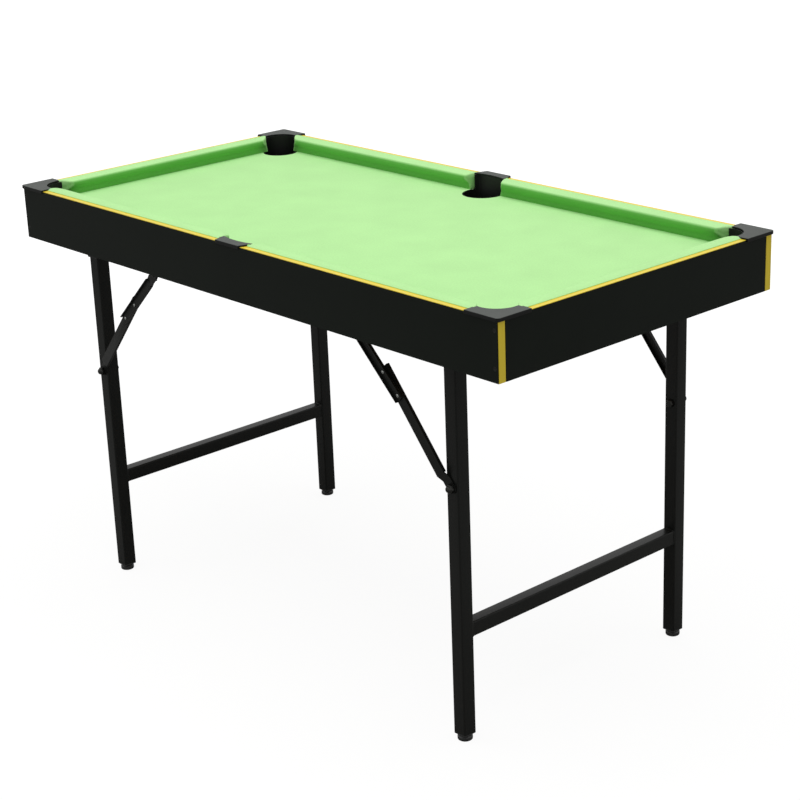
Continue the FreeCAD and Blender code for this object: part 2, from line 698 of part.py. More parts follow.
def legs(name, end):
    """Two square tubes, drilled for the pivot bolt and the brace bolt."""
    members = []
    pivot = f"places.{name}_pivot"
    tall = f"{pivot} + sizes.leg_above_pivot - sizes.leg_base"
    for _, side in SIDES:
        leg = body(name + "_leg", (f"{end} * places.leg_x", f"{side} * places.leg_y", "sizes.leg_base"))
        bar = feature(leg, "AdditiveBox", ("-places.leg_half", "-places.leg_half", "0"),
                      Length="sizes.leg_width", Width="sizes.leg_width", Height=tall)
        round_off(leg, bar, "z", "sizes.tube_round")
        bore = "sizes.leg_width - 2 * sizes.tube_wall"
        inside = "sizes.tube_wall - places.leg_half"
        feature(leg, "SubtractiveBox", (inside, inside, "0"), Length=bore, Width=bore, Height=tall)
        for height in (f"{pivot} - sizes.leg_base",
                       f"{pivot} - sizes.leg_base - sizes.brace_drop"):
            feature(leg, "SubtractiveCylinder", ("0", "-places.leg_half", height), ALONG_Y,
                    Radius="sizes.bolt_radius + sizes.running_fit", Height="sizes.leg_width")
        members.append(leg)
    group(name + "_legs", members)


def stretcher(name, end):
    """Square tube welded between the two legs of a frame."""
    base = "sizes.stretcher_top - sizes.stretcher_depth"
    tube = body(name + "_stretcher", (f"{end} * places.leg_x", "0", base))
    bar = feature(tube, "AdditiveBox", ("-sizes.stretcher_thick / 2", "-places.leg_inner", "0"),
                  Length="sizes.stretcher_thick", Width="2 * places.leg_inner",
                  Height="sizes.stretcher_depth")
    round_off(tube, bar, "y", "sizes.tube_round")
    feature(tube, "SubtractiveBox",
            ("sizes.tube_wall - sizes.stretcher_thick / 2", "-places.leg_inner", "sizes.tube_wall"),
            Length="sizes.stretcher_thick - 2 * sizes.tube_wall", Width="2 * places.leg_inner",
            Height="sizes.stretcher_depth - 2 * sizes.tube_wall")
    keep(name + "_stretcher", tube)


def plugs(name, end):
    """Plastic plugs: closed ones in the tube tops, bored ones with a flange at the feet."""
    members = []
    inner = "(places.leg_half - sizes.tube_wall - sizes.plug_wall_gap)"
    pivot = f"places.{name}_pivot"
    for _, side in SIDES:
        where = (f"{end} * places.leg_x", f"{side} * places.leg_y")
        foot = body(name + "_foot_plug", where + ("places.flange_base",))
        flange = feature(foot, "AdditiveBox", ("-places.leg_half", "-places.leg_half", "0"),
                         Length="sizes.leg_width", Width="sizes.leg_width",
                         Height="sizes.plug_flange")
        round_off(foot, flange, "z", "sizes.tube_round")
        feature(foot, "AdditiveBox", (f"-{inner}", f"-{inner}", "sizes.plug_flange"),
                Length=f"2 * {inner}", Width=f"2 * {inner}", Height="sizes.plug_length")
        feature(foot, "SubtractiveCylinder", Radius="sizes.foot_stud + sizes.running_fit",
                Height="sizes.plug_flange + sizes.plug_length")
        top = body(name + "_top_plug",
                   where + (f"{pivot} + sizes.leg_above_pivot - sizes.plug_flange",))
        feature(top, "AdditiveBox", (f"-{inner}", f"-{inner}", "0"),
                Length=f"2 * {inner}", Width=f"2 * {inner}", Height="sizes.plug_flange")
        members += [foot, top]
    group(name + "_plugs", members)


def brace_bolts(name, end):
    """Bolts through the legs that hold the lower arms, with dome nuts outside."""
    members = []
    for _, side in SIDES:
        members.append(spindle(
            name + "_brace_bolt",
            (f"{end} * places.leg_x", f"{side} * places.leg_inner",
             f"places.{name}_pivot - sizes.brace_drop"),
            ALONG_Y if side > 0 else AGAINST_Y, "sizes.bolt_radius",
            "sizes.leg_width + 2 * sizes.ear_gap + sizes.arm_sheet",
            (("sizes.bolt_head", "sizes.bolt_head_thick"),
             ("sizes.dome_radius", "sizes.dome_height"))))
    group(name + "_brace_bolts", members)


def feet(name, end):
    """Levelling feet: bevelled disc, collar against the plug flange and stud in its bore."""
    for row, side in SIDES:
        label = f"{row}_{name}_foot"
        foot = body(label, (f"{end} * places.leg_x", f"{side} * places.leg_y", "0"))
        feature(foot, "AdditiveCylinder", Radius="sizes.foot_radius", Height="sizes.foot_disc")
        feature(foot, "AdditiveCone", ("0", "0", "sizes.foot_disc"), Radius1="sizes.foot_radius",
                Radius2="sizes.foot_radius - sizes.foot_bevel", Height="sizes.foot_bevel")
        feature(foot, "AdditiveCylinder", ("0", "0", "places.foot_height"),
                Radius="sizes.foot_collar", Height="places.flange_base - places.foot_height")
        feature(foot, "AdditiveCylinder", ("0", "0", "places.flange_base"),
                Radius="sizes.foot_stud", Height="sizes.foot_stud_length")
        keep(label, foot)


# Folding braces, drawn along X from pin to pin, with Y outwards


def arm(length, tab, web, holes):
    """One brace arm: a shallow sheet channel that steps to a flat, round-ended tab at its pin.

    length runs from the pin to the square end, tab and web are the places of their inner faces,
    and holes the place, inner face and pin radius of each hole.
    """
    thick, half, deep = size("arm_sheet"), size("arm_width") / 2, size("arm_depth")
    step = size("arm_tab")
    channel = step + size("arm_step")
    inner = [(0, tab), (step, tab), (channel, web), (length, web)]
    outer = [(x, y + thick) for x, y in reversed(inner)]
    outline = [Vector(x, y, -half) for x, y in inner + outer + inner[:1]]
    strap = Part.Face(Part.makePolygon(outline)).extrude(Vector(0, 0, 2 * half))
    members = [Part.makeCylinder(half, thick, Vector(0, tab, 0), Vector(0, 1, 0))]
    for lip in (-half, half - thick):
        members.append(Part.makeBox(length - channel, deep, thick, Vector(channel, 0, lip)))
    whole = strap.multiFuse(members).removeSplitter()
    for place, face, radius in holes:
        drill = Part.makeCylinder(radius + size("running_fit"), thick, Vector(place, face, 0),
                                  Vector(0, 1, 0))
        whole = whole.cut(drill)
    return whole.Solids[0]


def knee(end):
    """Pins and knee of one frame's linkage in the XZ plane: bolt, bracket pin, knee."""
    pivot = size("right_pivot" if end > 0 else "left_pivot")
    bolt = Vector(end * size("leg_x"), 0, pivot - size("brace_drop"))
    pin = Vector(end * size("brace_pin_x"), 0, pivot)
    span = pin - bolt
    along = (size("lower_arm") ** 2 - size("upper_arm") ** 2 + span.Length ** 2) / (2 * span.Length)
    aside = math.sqrt(size("lower_arm") ** 2 - along ** 2)
    unit = Vector(span).normalize()
    square = Vector(unit.z, 0, -unit.x) * end
    return bolt, pin, bolt + unit * along + square * aside


def braces(name, end):
    """Lower and upper arms of one frame, back to back, and the two halves of their rivets."""
    bolt, pin, joint = knee(end)
    thick, second = size("arm_sheet"), size("rivet_pitch")
    shank, head = size("rivet_radius"), size("rivet_head")
    leg_tab = size("leg_tab_in") - size("lower_in")
    pin_tab = size("pin_tab_in") - size("upper_in")
    lower_web = size("arm_depth") - thick
    lower_knee, upper_knee = size("lower_arm"), size("upper_arm")
    lower = arm(lower_knee + second + size("arm_end"), leg_tab, lower_web,
                ((0, leg_tab, size("bolt_radius")), (lower_knee, lower_web, shank)))
    upper = arm(upper_knee + size("arm_end"), pin_tab, 0,
                ((0, pin_tab, shank), (upper_knee, 0, shank), (upper_knee - second, 0, shank)))
    head_thick = size("rivet_head_thick")

    def rivet(place, start, outwards):
        pin_body = Part.makeCylinder(shank, thick, Vector(place, start, 0), Vector(0, 1, 0))
        top = start + thick if outwards else start - head_thick
        cap = Part.makeCylinder(head, head_thick, Vector(place, top, 0), Vector(0, 1, 0))
        return pin_body.fuse(cap).removeSplitter()

    lower_rivet = rivet(lower_knee, lower_web, False)
    upper_rivets = [rivet(upper_knee, 0, True), rivet(upper_knee - second, 0, True)]
    sets = (
        ("lower_braces", [lower], bolt, joint, size("lower_in")),
        ("upper_braces", [upper], pin, joint, size("upper_in")),
        ("lower_rivets", [lower_rivet], bolt, joint, size("lower_in")),
        ("upper_rivets", upper_rivets, pin, joint, size("upper_in")),
    )
    for label, shapes, start, finish, depth in sets:
        members = []
        direction = finish - start
        for row, side in SIDES:
            for number, shape in enumerate(shapes, start=1):
                own = shape if side > 0 else shape.mirror(Vector(), Vector(0, 1, 0))
                angle = -math.degrees(math.atan2(direction.z, direction.x))
                placement = Placement(start + Vector(0, side * depth, 0),
                                      Rotation(Vector(0, 1, 0), angle))
                members.append(shaped(f"{row}_{name}_{label}_{number}", own, placement))
        group(f"{name}_{label}", members)


# Assembly

long_aprons()
end_aprons()
edging()
apron_screws()
bed()
battens()
rails()
pockets()
leg_brackets()
brace_brackets()
bracket_screws()
pivot_bolts()
brace_pins()
for end_name, end_sign in ENDS:
    legs(end_name, end_sign)
    stretcher(end_name, end_sign)
    plugs(end_name, end_sign)
    brace_bolts(end_name, end_sign)
    feet(end_name, end_sign)
    braces(end_name, end_sign)
doc.recompute()

for thing in doc.Objects:
    if {"Invalid", "Error"} & set(thing.State):
        raise RuntimeError(f"{thing.Label} failed: {thing.State}")
for name, thing in nodes.items():
    if thing.Shape.isNull() or not thing.Shape.isValid() or not thing.Shape.Solids:
        raise RuntimeError(f"{name} has no valid solid")

os.makedirs("parts", exist_ok=True)
for name, thing in nodes.items():
    thing.Shape.exportStep(f"parts/{name}.step")
print(len(nodes), "pieces written")
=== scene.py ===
"""Dresses the folding games table: cloth, cushions, edging, pockets, steelwork, feet and studio.

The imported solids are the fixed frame. Each operator below makes one kind of piece, or gives
solids that already have the right form their finish, and the panel lists them in order.
"""

import json
import math

import bmesh
import bpy
import numpy as np
from bpy.props import FloatProperty, FloatVectorProperty, PointerProperty
from mathutils import Matrix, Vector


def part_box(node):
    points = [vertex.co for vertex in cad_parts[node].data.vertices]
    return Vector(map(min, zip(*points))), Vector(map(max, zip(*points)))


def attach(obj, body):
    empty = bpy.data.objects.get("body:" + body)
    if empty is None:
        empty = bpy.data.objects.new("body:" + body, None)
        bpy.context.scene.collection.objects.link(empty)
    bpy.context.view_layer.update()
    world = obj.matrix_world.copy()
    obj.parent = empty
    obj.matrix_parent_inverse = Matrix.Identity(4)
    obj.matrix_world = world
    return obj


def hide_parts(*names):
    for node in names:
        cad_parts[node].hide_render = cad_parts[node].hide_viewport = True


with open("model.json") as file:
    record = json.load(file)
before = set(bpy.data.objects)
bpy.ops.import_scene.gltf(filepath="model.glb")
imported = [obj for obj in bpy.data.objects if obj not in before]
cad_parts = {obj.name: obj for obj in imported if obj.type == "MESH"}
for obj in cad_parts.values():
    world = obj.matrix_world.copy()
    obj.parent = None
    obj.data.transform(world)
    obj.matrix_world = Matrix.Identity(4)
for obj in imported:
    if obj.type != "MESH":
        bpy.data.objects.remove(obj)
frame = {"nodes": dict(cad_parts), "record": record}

bl_info = {
    "name": "Folding games table",
    "version": (1, 0, 0),
    "blender": (4, 5, 0),
    "location": "3D View > Sidebar > Games table",
    "description": "Cloth, cushions, trim, steelwork and studio of a folding games table",
    "category": "Object",
}

BODY_OF = {node: body for body, nodes in frame["record"]["behaviour"]["bodies"].items()
           for node in nodes}
MM = 0.001
SAME = 1e-6  # Metres within which two points are one
FLAT = 0.6  # Degrees within which two faces are one
SHARP = 35.0  # Degrees past which an edge is shaded sharp
TINY = 1e-12  # Added to a length that is divided by, which may be nought
ENDS = ("left", "right")
CORNERS = ("front_left", "front_right", "back_left", "back_right")
# Cushion, direction along it, direction in from the apron, and which pocket each end faces
CUSHIONS = (
    ("front_left", (1, 0), (0, 1), "corner", "side"),
    ("front_right", (1, 0), (0, 1), "side", "corner"),
    ("back_left", (1, 0), (0, -1), "corner", "side"),
    ("back_right", (1, 0), (0, -1), "side", "corner"),
    ("left", (0, 1), (1, 0), "corner", "corner"),
    ("right", (0, 1), (-1, 0), "corner", "corner"),
)


def linear(colour):
    """sRGB hex colour as the linear red, green and blue that sockets take."""
    value = np.array([int(colour[i:i + 2], 16) for i in (1, 3, 5)]) / 255
    return tuple(np.where(value <= 0.04045, value / 12.92, ((value + 0.055) / 1.055) ** 2.4))


def length(name, description, millimetres):
    """A size in the sidebar, given here in millimetres."""
    return FloatProperty(name=name, description=description, default=millimetres * MM,
                         min=0.0, unit="LENGTH", precision=5)


def tint(name, description, colour):
    """A colour in the sidebar, given here as sRGB hex."""
    return FloatVectorProperty(name=name, description=description, subtype="COLOR", size=3,
                               min=0.0, max=1.0, default=linear(colour))


class ClothSettings(bpy.types.PropertyGroup):
    """Playfield cloth and cushions."""

    thickness: length("Thickness", "Thickness of the cloth", 0.8)
    edge_roll: length("Edge roll", "Radius with which the cloth turns down at a pocket", 0.9)
    margin: length("Hidden margin", "Cloth edge back from the inner faces of the aprons", 5)
    corner_bite: length("Corner cut-out", "Radius of the cut-out at a corner pocket", 33)
    corner_inset: length("Corner pocket axis", "Pocket axis in from the outer faces", 55)
    side_bite: length("Side cut-out", "Radius of the cut-out at a side pocket", 38)
    side_inset: length("Side pocket axis", "Pocket axis in from the outer face", 37)
    core_width: length("Wood strip", "Width of the wood strip under a cushion", 12)
    core_height: length("Wood strip height", "Height of the wood strip", 24)
    lap: length("Lap", "Cushion cloth laid over the edging tape", 4.2)
    lap_height: length("Lap height", "Underside of the lap, above the bed", 26.1)
    back_height: length("Back height", "Cushion cloth at the end of the lap, above the bed", 26.9)
    crown_height: length("Crown height", "Highest line of a cushion, above the bed", 29.3)
    crown_place: length("Crown place", "Highest line of a cushion, in from the apron", 6.5)
    shoulder_height: length("Shoulder height", "Where the nose starts to round, above the bed",
                            26.75)
    nose_height: length("Nose height", "Nose above the bed", 20)
    nose_round: length("Nose rounding", "Shoulder back from the nose", 3.5)
    undercut: length("Undercut", "Foot of the cushion back from its nose", 6.5)
    end_cover: length("End cover", "Cloth beyond the ends of the wood strip", 3.5)
    end_round: length("End rounding", "Rounding of the cushion ends", 3)
    corner_slant: length("Corner slant", "Nose back from the apron side at a corner mouth", 22)
    corner_foot: length("Corner foot", "Foot back from the apron side at a corner mouth", 12)
    side_slant: length("Side slant", "Nose back from the apron side at a side mouth", 9)
    side_foot: length("Side foot", "Foot back from the apron side at a side mouth", 1)
    end_bend: FloatProperty(name="End bend", description="Power with which a cushion end bends "
                            "away towards the nose", default=1.6, min=1.0)
    top_colour: tint("Cloth", "Cloth seen from above", "#c1f5a9")
    # The face colour is painted shade: cushion faces look darker because less light falls on them
    # from above
    shaded_face_colour: tint("Cloth, face", "Cloth seen against its nap", "#63b04c")


class TrimSettings(bpy.types.PropertyGroup):
    """Aprons, edging and pockets."""

    board_edge: length("Board edge", "Rounding of the vinyl on the apron edges", 0.6)
    tape_edge: length("Tape edge", "Rounding of the edging tape", 0.35)
    cap_edge: length("Cap edge", "Rounding of the pocket caps", 0.9)
    cup_edge: length("Cup edge", "Rounding of the pocket cups", 0.5)
    vinyl_colour: tint("Vinyl", "Black vinyl on the aprons", "#121712")
    tape_colour: tint("Edging", "Yellow edging tape", "#efd43c")
    # The caps are black plastic: this grey on their tops is partly painted light from above, and
    # the rims take the darker cup colour as painted shade
    lit_cap_colour: tint("Cap", "Textured pocket caps", "#3a3e3a")
    liner_colour: tint("Cup", "Pocket cups and their liners", "#0d0e0d")
    board_colour: tint("Board", "Raw fibreboard under the bed", "#a98a63")
    wood_colour: tint("Wood", "Pine between its growth rings", "#d9b888")
    ring_colour: tint("Rings", "Growth rings of the pine", "#b98f5c")


class SteelSettings(bpy.types.PropertyGroup):
    """Leg frames, brackets, fasteners and feet."""

    sheet_edge: length("Sheet edge", "Rounding of the bracket sheet edges", 0.4)
    bead_radius: length("Weld bead", "Radius of the weld beads", 1.6)
    ripple_pitch: length("Weld ripple", "Distance between the ripples of a weld bead", 2.4)
    recess_depth: length("Screw recess", "Depth of the cross recess in a screw head", 1.2)
    thread_pitch: length("Thread pitch", "Pitch of the threads on the levelling feet", 1.25)
    tube_colour: tint("Tube paint", "Black powder coat on the tubes", "#141513")
    bracket_colour: tint("Bracket paint", "Black paint on the brackets", "#141513")
    fastener_colour: tint("Fasteners", "Darkened steel of bolts and screws", "#343432")
    rivet_colour: tint("Rivets", "Zinc-plated steel of the rivets", "#8f918e")
    foot_colour: tint("Feet", "Black plastic of the levelling feet", "#1a1b1b")


class StudioSettings(bpy.types.PropertyGroup):
    """Camera, light and floor."""

    lens: FloatProperty(name="Lens", description="Focal length in millimetres on a 36 mm frame",
                        default=87.0, min=10.0)
    place: FloatVectorProperty(name="Camera", description="Place of the camera", size=3,
                               default=(2.41806, -2.09105, 1.5382), subtype="TRANSLATION")
    yaw: FloatProperty(name="Yaw", description="Turn from +Y about the vertical",
                       default=-0.84603, unit="ROTATION")
    pitch: FloatProperty(name="Pitch", description="Tilt of the view line from level",
                         default=-0.34619, unit="ROTATION")
    roll: FloatProperty(name="Roll", description="Turn of the picture about the view line",
                        default=-0.03815, unit="ROTATION")
    lamp_height: length("Lamp height", "Overhead lamp above the floor", 3500)
    lamp_size: length("Lamp size", "Side of the square overhead lamp", 3200)
    lamp_power: FloatProperty(name="Lamp power", description="Overhead lamp in watts",
                              default=62.0, min=0.0, unit="POWER")
    sky: FloatProperty(name="Surround", description="Strength of the even white surround",
                       default=0.45, min=0.0)
    floor_size: length("Floor", "Side of the floor", 24000)


# Building surfaces


def mesh_of(name, grids, sharp=SHARP, values=None, shade_values=None, closed=True, lid=()):
    """One mesh from grids of points, each an array of rows by columns by three.

    A face joins each four neighbours. A closed direction repeats its first line and a pole
    repeats one point, so points that coincide are merged and the faces turned outwards.
    values and shade_values hold the cloth coordinates and the painted shade of the points of a
    single grid. lid numbers the points round an opening that one flat face closes.
    """
    points, faces = [], []
    for grid in grids:
        index = len(points) + np.arange(grid[:, :, 0].size).reshape(grid.shape[:2])
        corners = index[:-1, :-1], index[1:, :-1], index[1:, 1:], index[:-1, 1:]
        faces += np.stack(corners, axis=2).reshape(-1, 4).tolist()
        points += grid.reshape(-1, 3).tolist()
    mesh = bpy.data.meshes.new(name)
    mesh.from_pydata(points, [], faces + ([list(lid)] if lid else []))
    if values is not None:
        corner = read(mesh.loops, "vertex_index", 1, np.int32)
        flat = values.reshape(-1, 2)[corner].ravel()
        mesh.uv_layers.new(name="cloth").data.foreach_set("uv", flat)
    if shade_values is not None:
        mesh.attributes.new("painted_shade", "FLOAT", "POINT").data.foreach_set("value", shade_values.ravel())
    weld(mesh, closed)
    smooth(mesh, sharp)
    return mesh


def weld(mesh, closed=True, flatten=False):
    """Merges points that coincide, then turns faces outwards or joins those that are level."""
    form = bmesh.new()
    form.from_mesh(mesh)
    bmesh.ops.remove_doubles(form, verts=form.verts, dist=SAME)
    if closed:
        bmesh.ops.recalc_face_normals(form, faces=form.faces)
    if flatten:
        bmesh.ops.dissolve_limit(form, angle_limit=math.radians(FLAT), verts=form.verts,
                                 edges=form.edges)
    form.to_mesh(mesh)
    form.free()


def read(items, name, width=1, kind=float):
    """One property of the items of a mesh, as an array with a row for each item."""
    values = np.empty(len(items) * width, dtype=kind)
    items.foreach_get(name, values)
    return values.reshape(-1, width)


def normals(ring):
    """Unit normals of a ring of points, each square to the line between its neighbours.

    They point outwards where the ring runs anticlockwise, and inwards where it runs clockwise.
    """
    step = np.roll(ring, -1, axis=0) - np.roll(ring, 1, axis=0)
    normal = np.stack([step[:, 1], -step[:, 0]], axis=1)
    return normal / (np.linalg.norm(normal, axis=1)[:, None] + TINY)


def closed_up(ring):
    """The ring with its first point repeated at its end."""
    return np.concatenate([ring, ring[:1]])


def smooth(mesh, sharp):
    """Smooth shading, except over edges that turn by more than the given degrees."""
    mesh.shade_smooth()
    mesh.set_sharp_from_angle(angle=math.radians(sharp))


def added(name, data):
    """New object of the scene that holds the given data."""
    item = bpy.data.objects.new(name, data)
    bpy.context.scene.collection.objects.link(item)
    return item


def put(name, mesh, material, body, slot, *nodes):
    """Adds a finished mesh as a piece that rides on a body and stands for the given nodes."""
    piece = added(name, mesh)
    mesh.materials.clear()
    mesh.materials.append(material)
    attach(piece, body)
    if nodes:
        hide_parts(*nodes)
    return piece


def finished(node, material, slot, width=0.0, sharp=SHARP):
    """Copy of a node with its loose triangles merged and its sharp edges rounded by width.

    Where sharp is zero every face is shaded flat.
    """
    mesh = frame["nodes"][node].data.copy()
    weld(mesh, closed=False, flatten=True)
    if sharp:
        smooth(mesh, sharp)
    else:
        mesh.shade_flat()
    piece = put(node + "_finished", mesh, material, BODY_OF[node], slot, node)
    if width:
        rounding = piece.modifiers.new("edges", "BEVEL")
        rounding.width = width
        rounding.segments = 2
        rounding.limit_method = "ANGLE"
        rounding.angle_limit = math.radians(sharp or SHARP)
        rounding.harden_normals = sharp > 0
    return piece


def lumps(node):
    """Lowest and highest corner of each separate solid of a node, as pairs.

    Every point takes the lowest label among its neighbours until nothing changes, so the
    points of one solid end up with one label.
    """
    mesh = frame["nodes"][node].data.copy()
    weld(mesh)
    points = read(mesh.vertices, "co", 3)
    first, second = read(mesh.edges, "vertices", 2, np.int32).T
    bpy.data.meshes.remove(mesh)
    label, before = np.arange(len(points)), None
    while not np.array_equal(label, before):
        before = label.copy()
        np.minimum.at(label, first, before[second])
        np.minimum.at(label, second, before[first])
    solids = [points[label == name] for name in np.unique(label)]
    return [(solid.min(axis=0), solid.max(axis=0)) for solid in solids]


def turned(profile, origin, axis, corners=None, around=48):
    """Grid of a shape turned about an axis through origin.

    profile has a row of radius and height for each line. Where corners is 1 the section is a
    hexagon: its radius is that of the corners times cos 30 over the cosine of the angle from
    the nearest flat's middle.
    """
    radius, height = np.array(profile, dtype=float).T
    share = np.zeros(len(radius)) if corners is None else np.array(corners, dtype=float)
    angle = np.linspace(0, 2 * np.pi, around + 1)
    hexagon = math.cos(math.pi / 6) / np.cos(np.mod(angle, math.pi / 3) - math.pi / 6)
    reach = radius[:, None] * (1 + share[:, None] * (hexagon - 1))
    axis = np.array(axis, dtype=float)
    side = np.cross(axis, (0.0, 0.0, 1.0) if abs(axis[2]) < 0.9 else (1.0, 0.0, 0.0))
    side /= np.linalg.norm(side)
    up = np.cross(axis, side)
    return (np.array(origin, dtype=float) + height[:, None, None] * axis
            + reach[:, :, None] * (np.cos(angle)[:, None] * side + np.sin(angle)[:, None] * up))


# Materials


def feed(tree, node, links):
    """Links the sockets of a node to the outputs given for them."""
    for socket, source in links.items():
        tree.links.new(source, node.inputs[socket])


def add_node(tree, kind, settings=None, values=None, links=None):
    """Adds one shader node with its settings, its socket values and what feeds its sockets."""
    node = tree.nodes.new("ShaderNode" + kind)
    for name, value in (settings or {}).items():
        setattr(node, name, value)
    for socket, value in (values or {}).items():
        node.inputs[socket].default_value = value
    feed(tree, node, links or {})
    return node


def material_of(name, values):
    """Material whose surface shader has the given constants, with its tree and that shader.

    Where the material is there already, None stands for both, and nothing is added to it.
    """
    material = bpy.data.materials.get(name)
    if material:
        return material, None, None
    material = bpy.data.materials.new(name)
    material.use_nodes = True
    tree = material.node_tree
    tree.nodes.clear()
    shader = add_node(tree, "BsdfPrincipled", values=values)
    add_node(tree, "OutputMaterial", links={"Surface": shader.outputs["BSDF"]})
    return material, tree, shader


# Plastic, coated, metal and board finishes: metallic share, index of refraction, specular level,
# pitch of the grain in millimetres, spread of the colour, roughness from and to, and depth of
# the grain in millimetres. The comment over each says what the finish is and what it gives the
# eye. Metals keep the shader's own index and level.
FINISHES = {
    # Vinyl film on board, embossed with a fine grain: satin, with soft reflections
    "vinyl_laminate": (0, 1.5, 0.1, 1.4, 0.12, 0.36, 0.46, 0.02),
    # Extruded PVC: even colour, a low gloss and faint drawing marks
    "pvc_edging": (0, 1.53, 0.25, 2.5, 0.03, 0.34, 0.44, 0.01),
    # ABS moulded in a spark-textured tool: fine pits scatter the light
    "textured_abs": (0, 1.54, 0.35, 0.9, 0.10, 0.52, 0.66, 0.10),
    # Soft polypropylene, smooth from the tool: waxy and dim
    "moulded_polypropylene": (0, 1.49, 0.2, 2.0, 0.10, 0.42, 0.52, 0.03),
    # Baked powder coat: satin, with orange peel about 2 mm across
    "powder_coat": (0, 1.5, 0.17, 2.2, 0.08, 0.30, 0.40, 0.04),
    # Dipped paint on folded sheet: a little duller than the powder coat
    "sheet_paint": (0, 1.5, 0.25, 2.0, 0.12, 0.40, 0.52, 0.04),
    # Steel with a dark zinc finish: metal, with a blurred reflection
    "darkened_steel": (1, 1.5, 0.5, 1.0, 0.20, 0.34, 0.50, 0.02),
    # Zinc-plated steel: brighter metal with a soft, slightly uneven reflection
    "plated_steel": (1, 1.5, 0.5, 1.0, 0.10, 0.22, 0.34, 0.01),
    # Nylon moulded smooth: low gloss, with scuffs from the floor
    "moulded_nylon": (0, 1.53, 0.5, 1.5, 0.15, 0.38, 0.56, 0.04),
    # Raw medium density fibreboard: matt, with fine flecks of fibre
    "raw_fibreboard": (0, 1.5, 0.5, 1.6, 0.22, 0.78, 0.88, 0.05),
}


def finish_of(name, colour):
    """Material of one of the finishes, in the given linear colour.

    Noise at the pitch of the grain drives the bump. Noise forty times as coarse varies the
    colour by its spread and the roughness between its two values.
    """
    metallic, ior, specular, pitch, spread, smoothest, roughest, depth = FINISHES[name]
    material, tree, shader = material_of(name, {
        "Metallic": metallic, "IOR": ior, "Specular IOR Level": specular})
    if tree is None:
        return material
    where = add_node(tree, "TexCoord").outputs["Object"]
    fine, slow = (add_node(tree, "TexNoise", values={"Scale": 1 / (grain * MM), "Detail": detail},
                           links={"Vector": where}).outputs["Fac"]
                  for grain, detail in ((pitch, 3.0), (pitch * 40, 4.0)))
    dark = [value * (1 - spread) for value in colour]
    light = [min(value * (1 + spread), 1.0) for value in colour]
    mixed = add_node(tree, "Mix", {"data_type": "RGBA"}, {6: (*dark, 1), 7: (*light, 1)},
                     {0: slow})
    gloss = add_node(tree, "MapRange", values={"To Min": smoothest, "To Max": roughest},
                     links={"Value": slow})
    relief = add_node(tree, "Bump", values={"Strength": 1.0, "Distance": depth * MM},
                      links={"Height": fine})
    feed(tree, shader, {"Base Color": mixed.outputs[2], "Roughness": gloss.outputs["Result"],
                        "Normal": relief.outputs["Normal"]})
    return material


def wave_scale(pitch):
    """Scale at which a wave texture, with its 20 radians to the unit, repeats once a pitch."""
    return 2 * math.pi / (20 * pitch)


def baize(top, face):
    """Woven wool and nylon cloth: matt and short-napped, with painted shade on the cushion faces,
    mixed in by the painted_shade attribute.

    The real threads are about 0.5 mm apart. The weave is drawn at 3.2 mm so that it shows. The
    fibres clump at 3 mm, and the colour drifts a little over 90 mm.
    """
    material, tree, shader = material_of("woven_baize", {
        "Roughness": 0.95, "IOR": 1.45, "Specular IOR Level": 0.2,
        "Sheen Weight": 0.25, "Sheen Roughness": 0.6, "Sheen Tint": (*top, 1)})
    if tree is None:
        return material
    where = add_node(tree, "UVMap", {"uv_map": "cloth"}).outputs["UV"]
    threads = [add_node(tree, "TexWave", {"wave_profile": "SIN", "bands_direction": direction},
                        {"Scale": wave_scale(3.2 * MM), "Distortion": 0.6}, {"Vector": where})
               for direction in "XY"]
    weave = add_node(tree, "Math", {"operation": "MULTIPLY"},
                     links={0: threads[0].outputs["Fac"], 1: threads[1].outputs["Fac"]})
    fibre = add_node(tree, "TexNoise", values={"Scale": 1 / (3 * MM), "Detail": 6.0,
                                               "Roughness": 0.7}, links={"Vector": where})
    cloud = add_node(tree, "TexNoise", values={"Scale": 1 / (90 * MM), "Detail": 2.0},
                     links={"Vector": where})
    # Painted shade: the painted_shade attribute mixes the top colour towards the darker face
    # colour
    painted_shade = add_node(tree, "Attribute", {"attribute_name": "painted_shade", "attribute_type": "GEOMETRY"})
    base = add_node(tree, "Mix", {"data_type": "RGBA"}, {6: (*top, 1), 7: (*face, 1)},
                    {0: painted_shade.outputs["Fac"]})
    speck, drift = (add_node(tree, "MapRange", links={"Value": noise.outputs["Fac"]}, values={
        "From Min": 0.3, "From Max": 0.7, "To Min": darkest, "To Max": lightest})
        for noise, darkest, lightest in ((fibre, 0.93, 1.06), (cloud, 0.97, 1.03)))
    shade = add_node(tree, "Math", {"operation": "MULTIPLY"},
                     links={0: speck.outputs["Result"], 1: drift.outputs["Result"]})
    tinted = add_node(tree, "VectorMath", {"operation": "SCALE"},
                      links={0: base.outputs[2], "Scale": shade.outputs["Value"]})
    height = add_node(tree, "Math", {"operation": "ADD"},
                      links={0: weave.outputs["Value"], 1: fibre.outputs["Fac"]})
    relief = add_node(tree, "Bump", values={"Strength": 0.6, "Distance": 0.12 * MM},
                      links={"Height": height.outputs["Value"]})
    feed(tree, shader, {"Base Color": tinted.outputs["Vector"],
                        "Normal": relief.outputs["Normal"]})
    return material


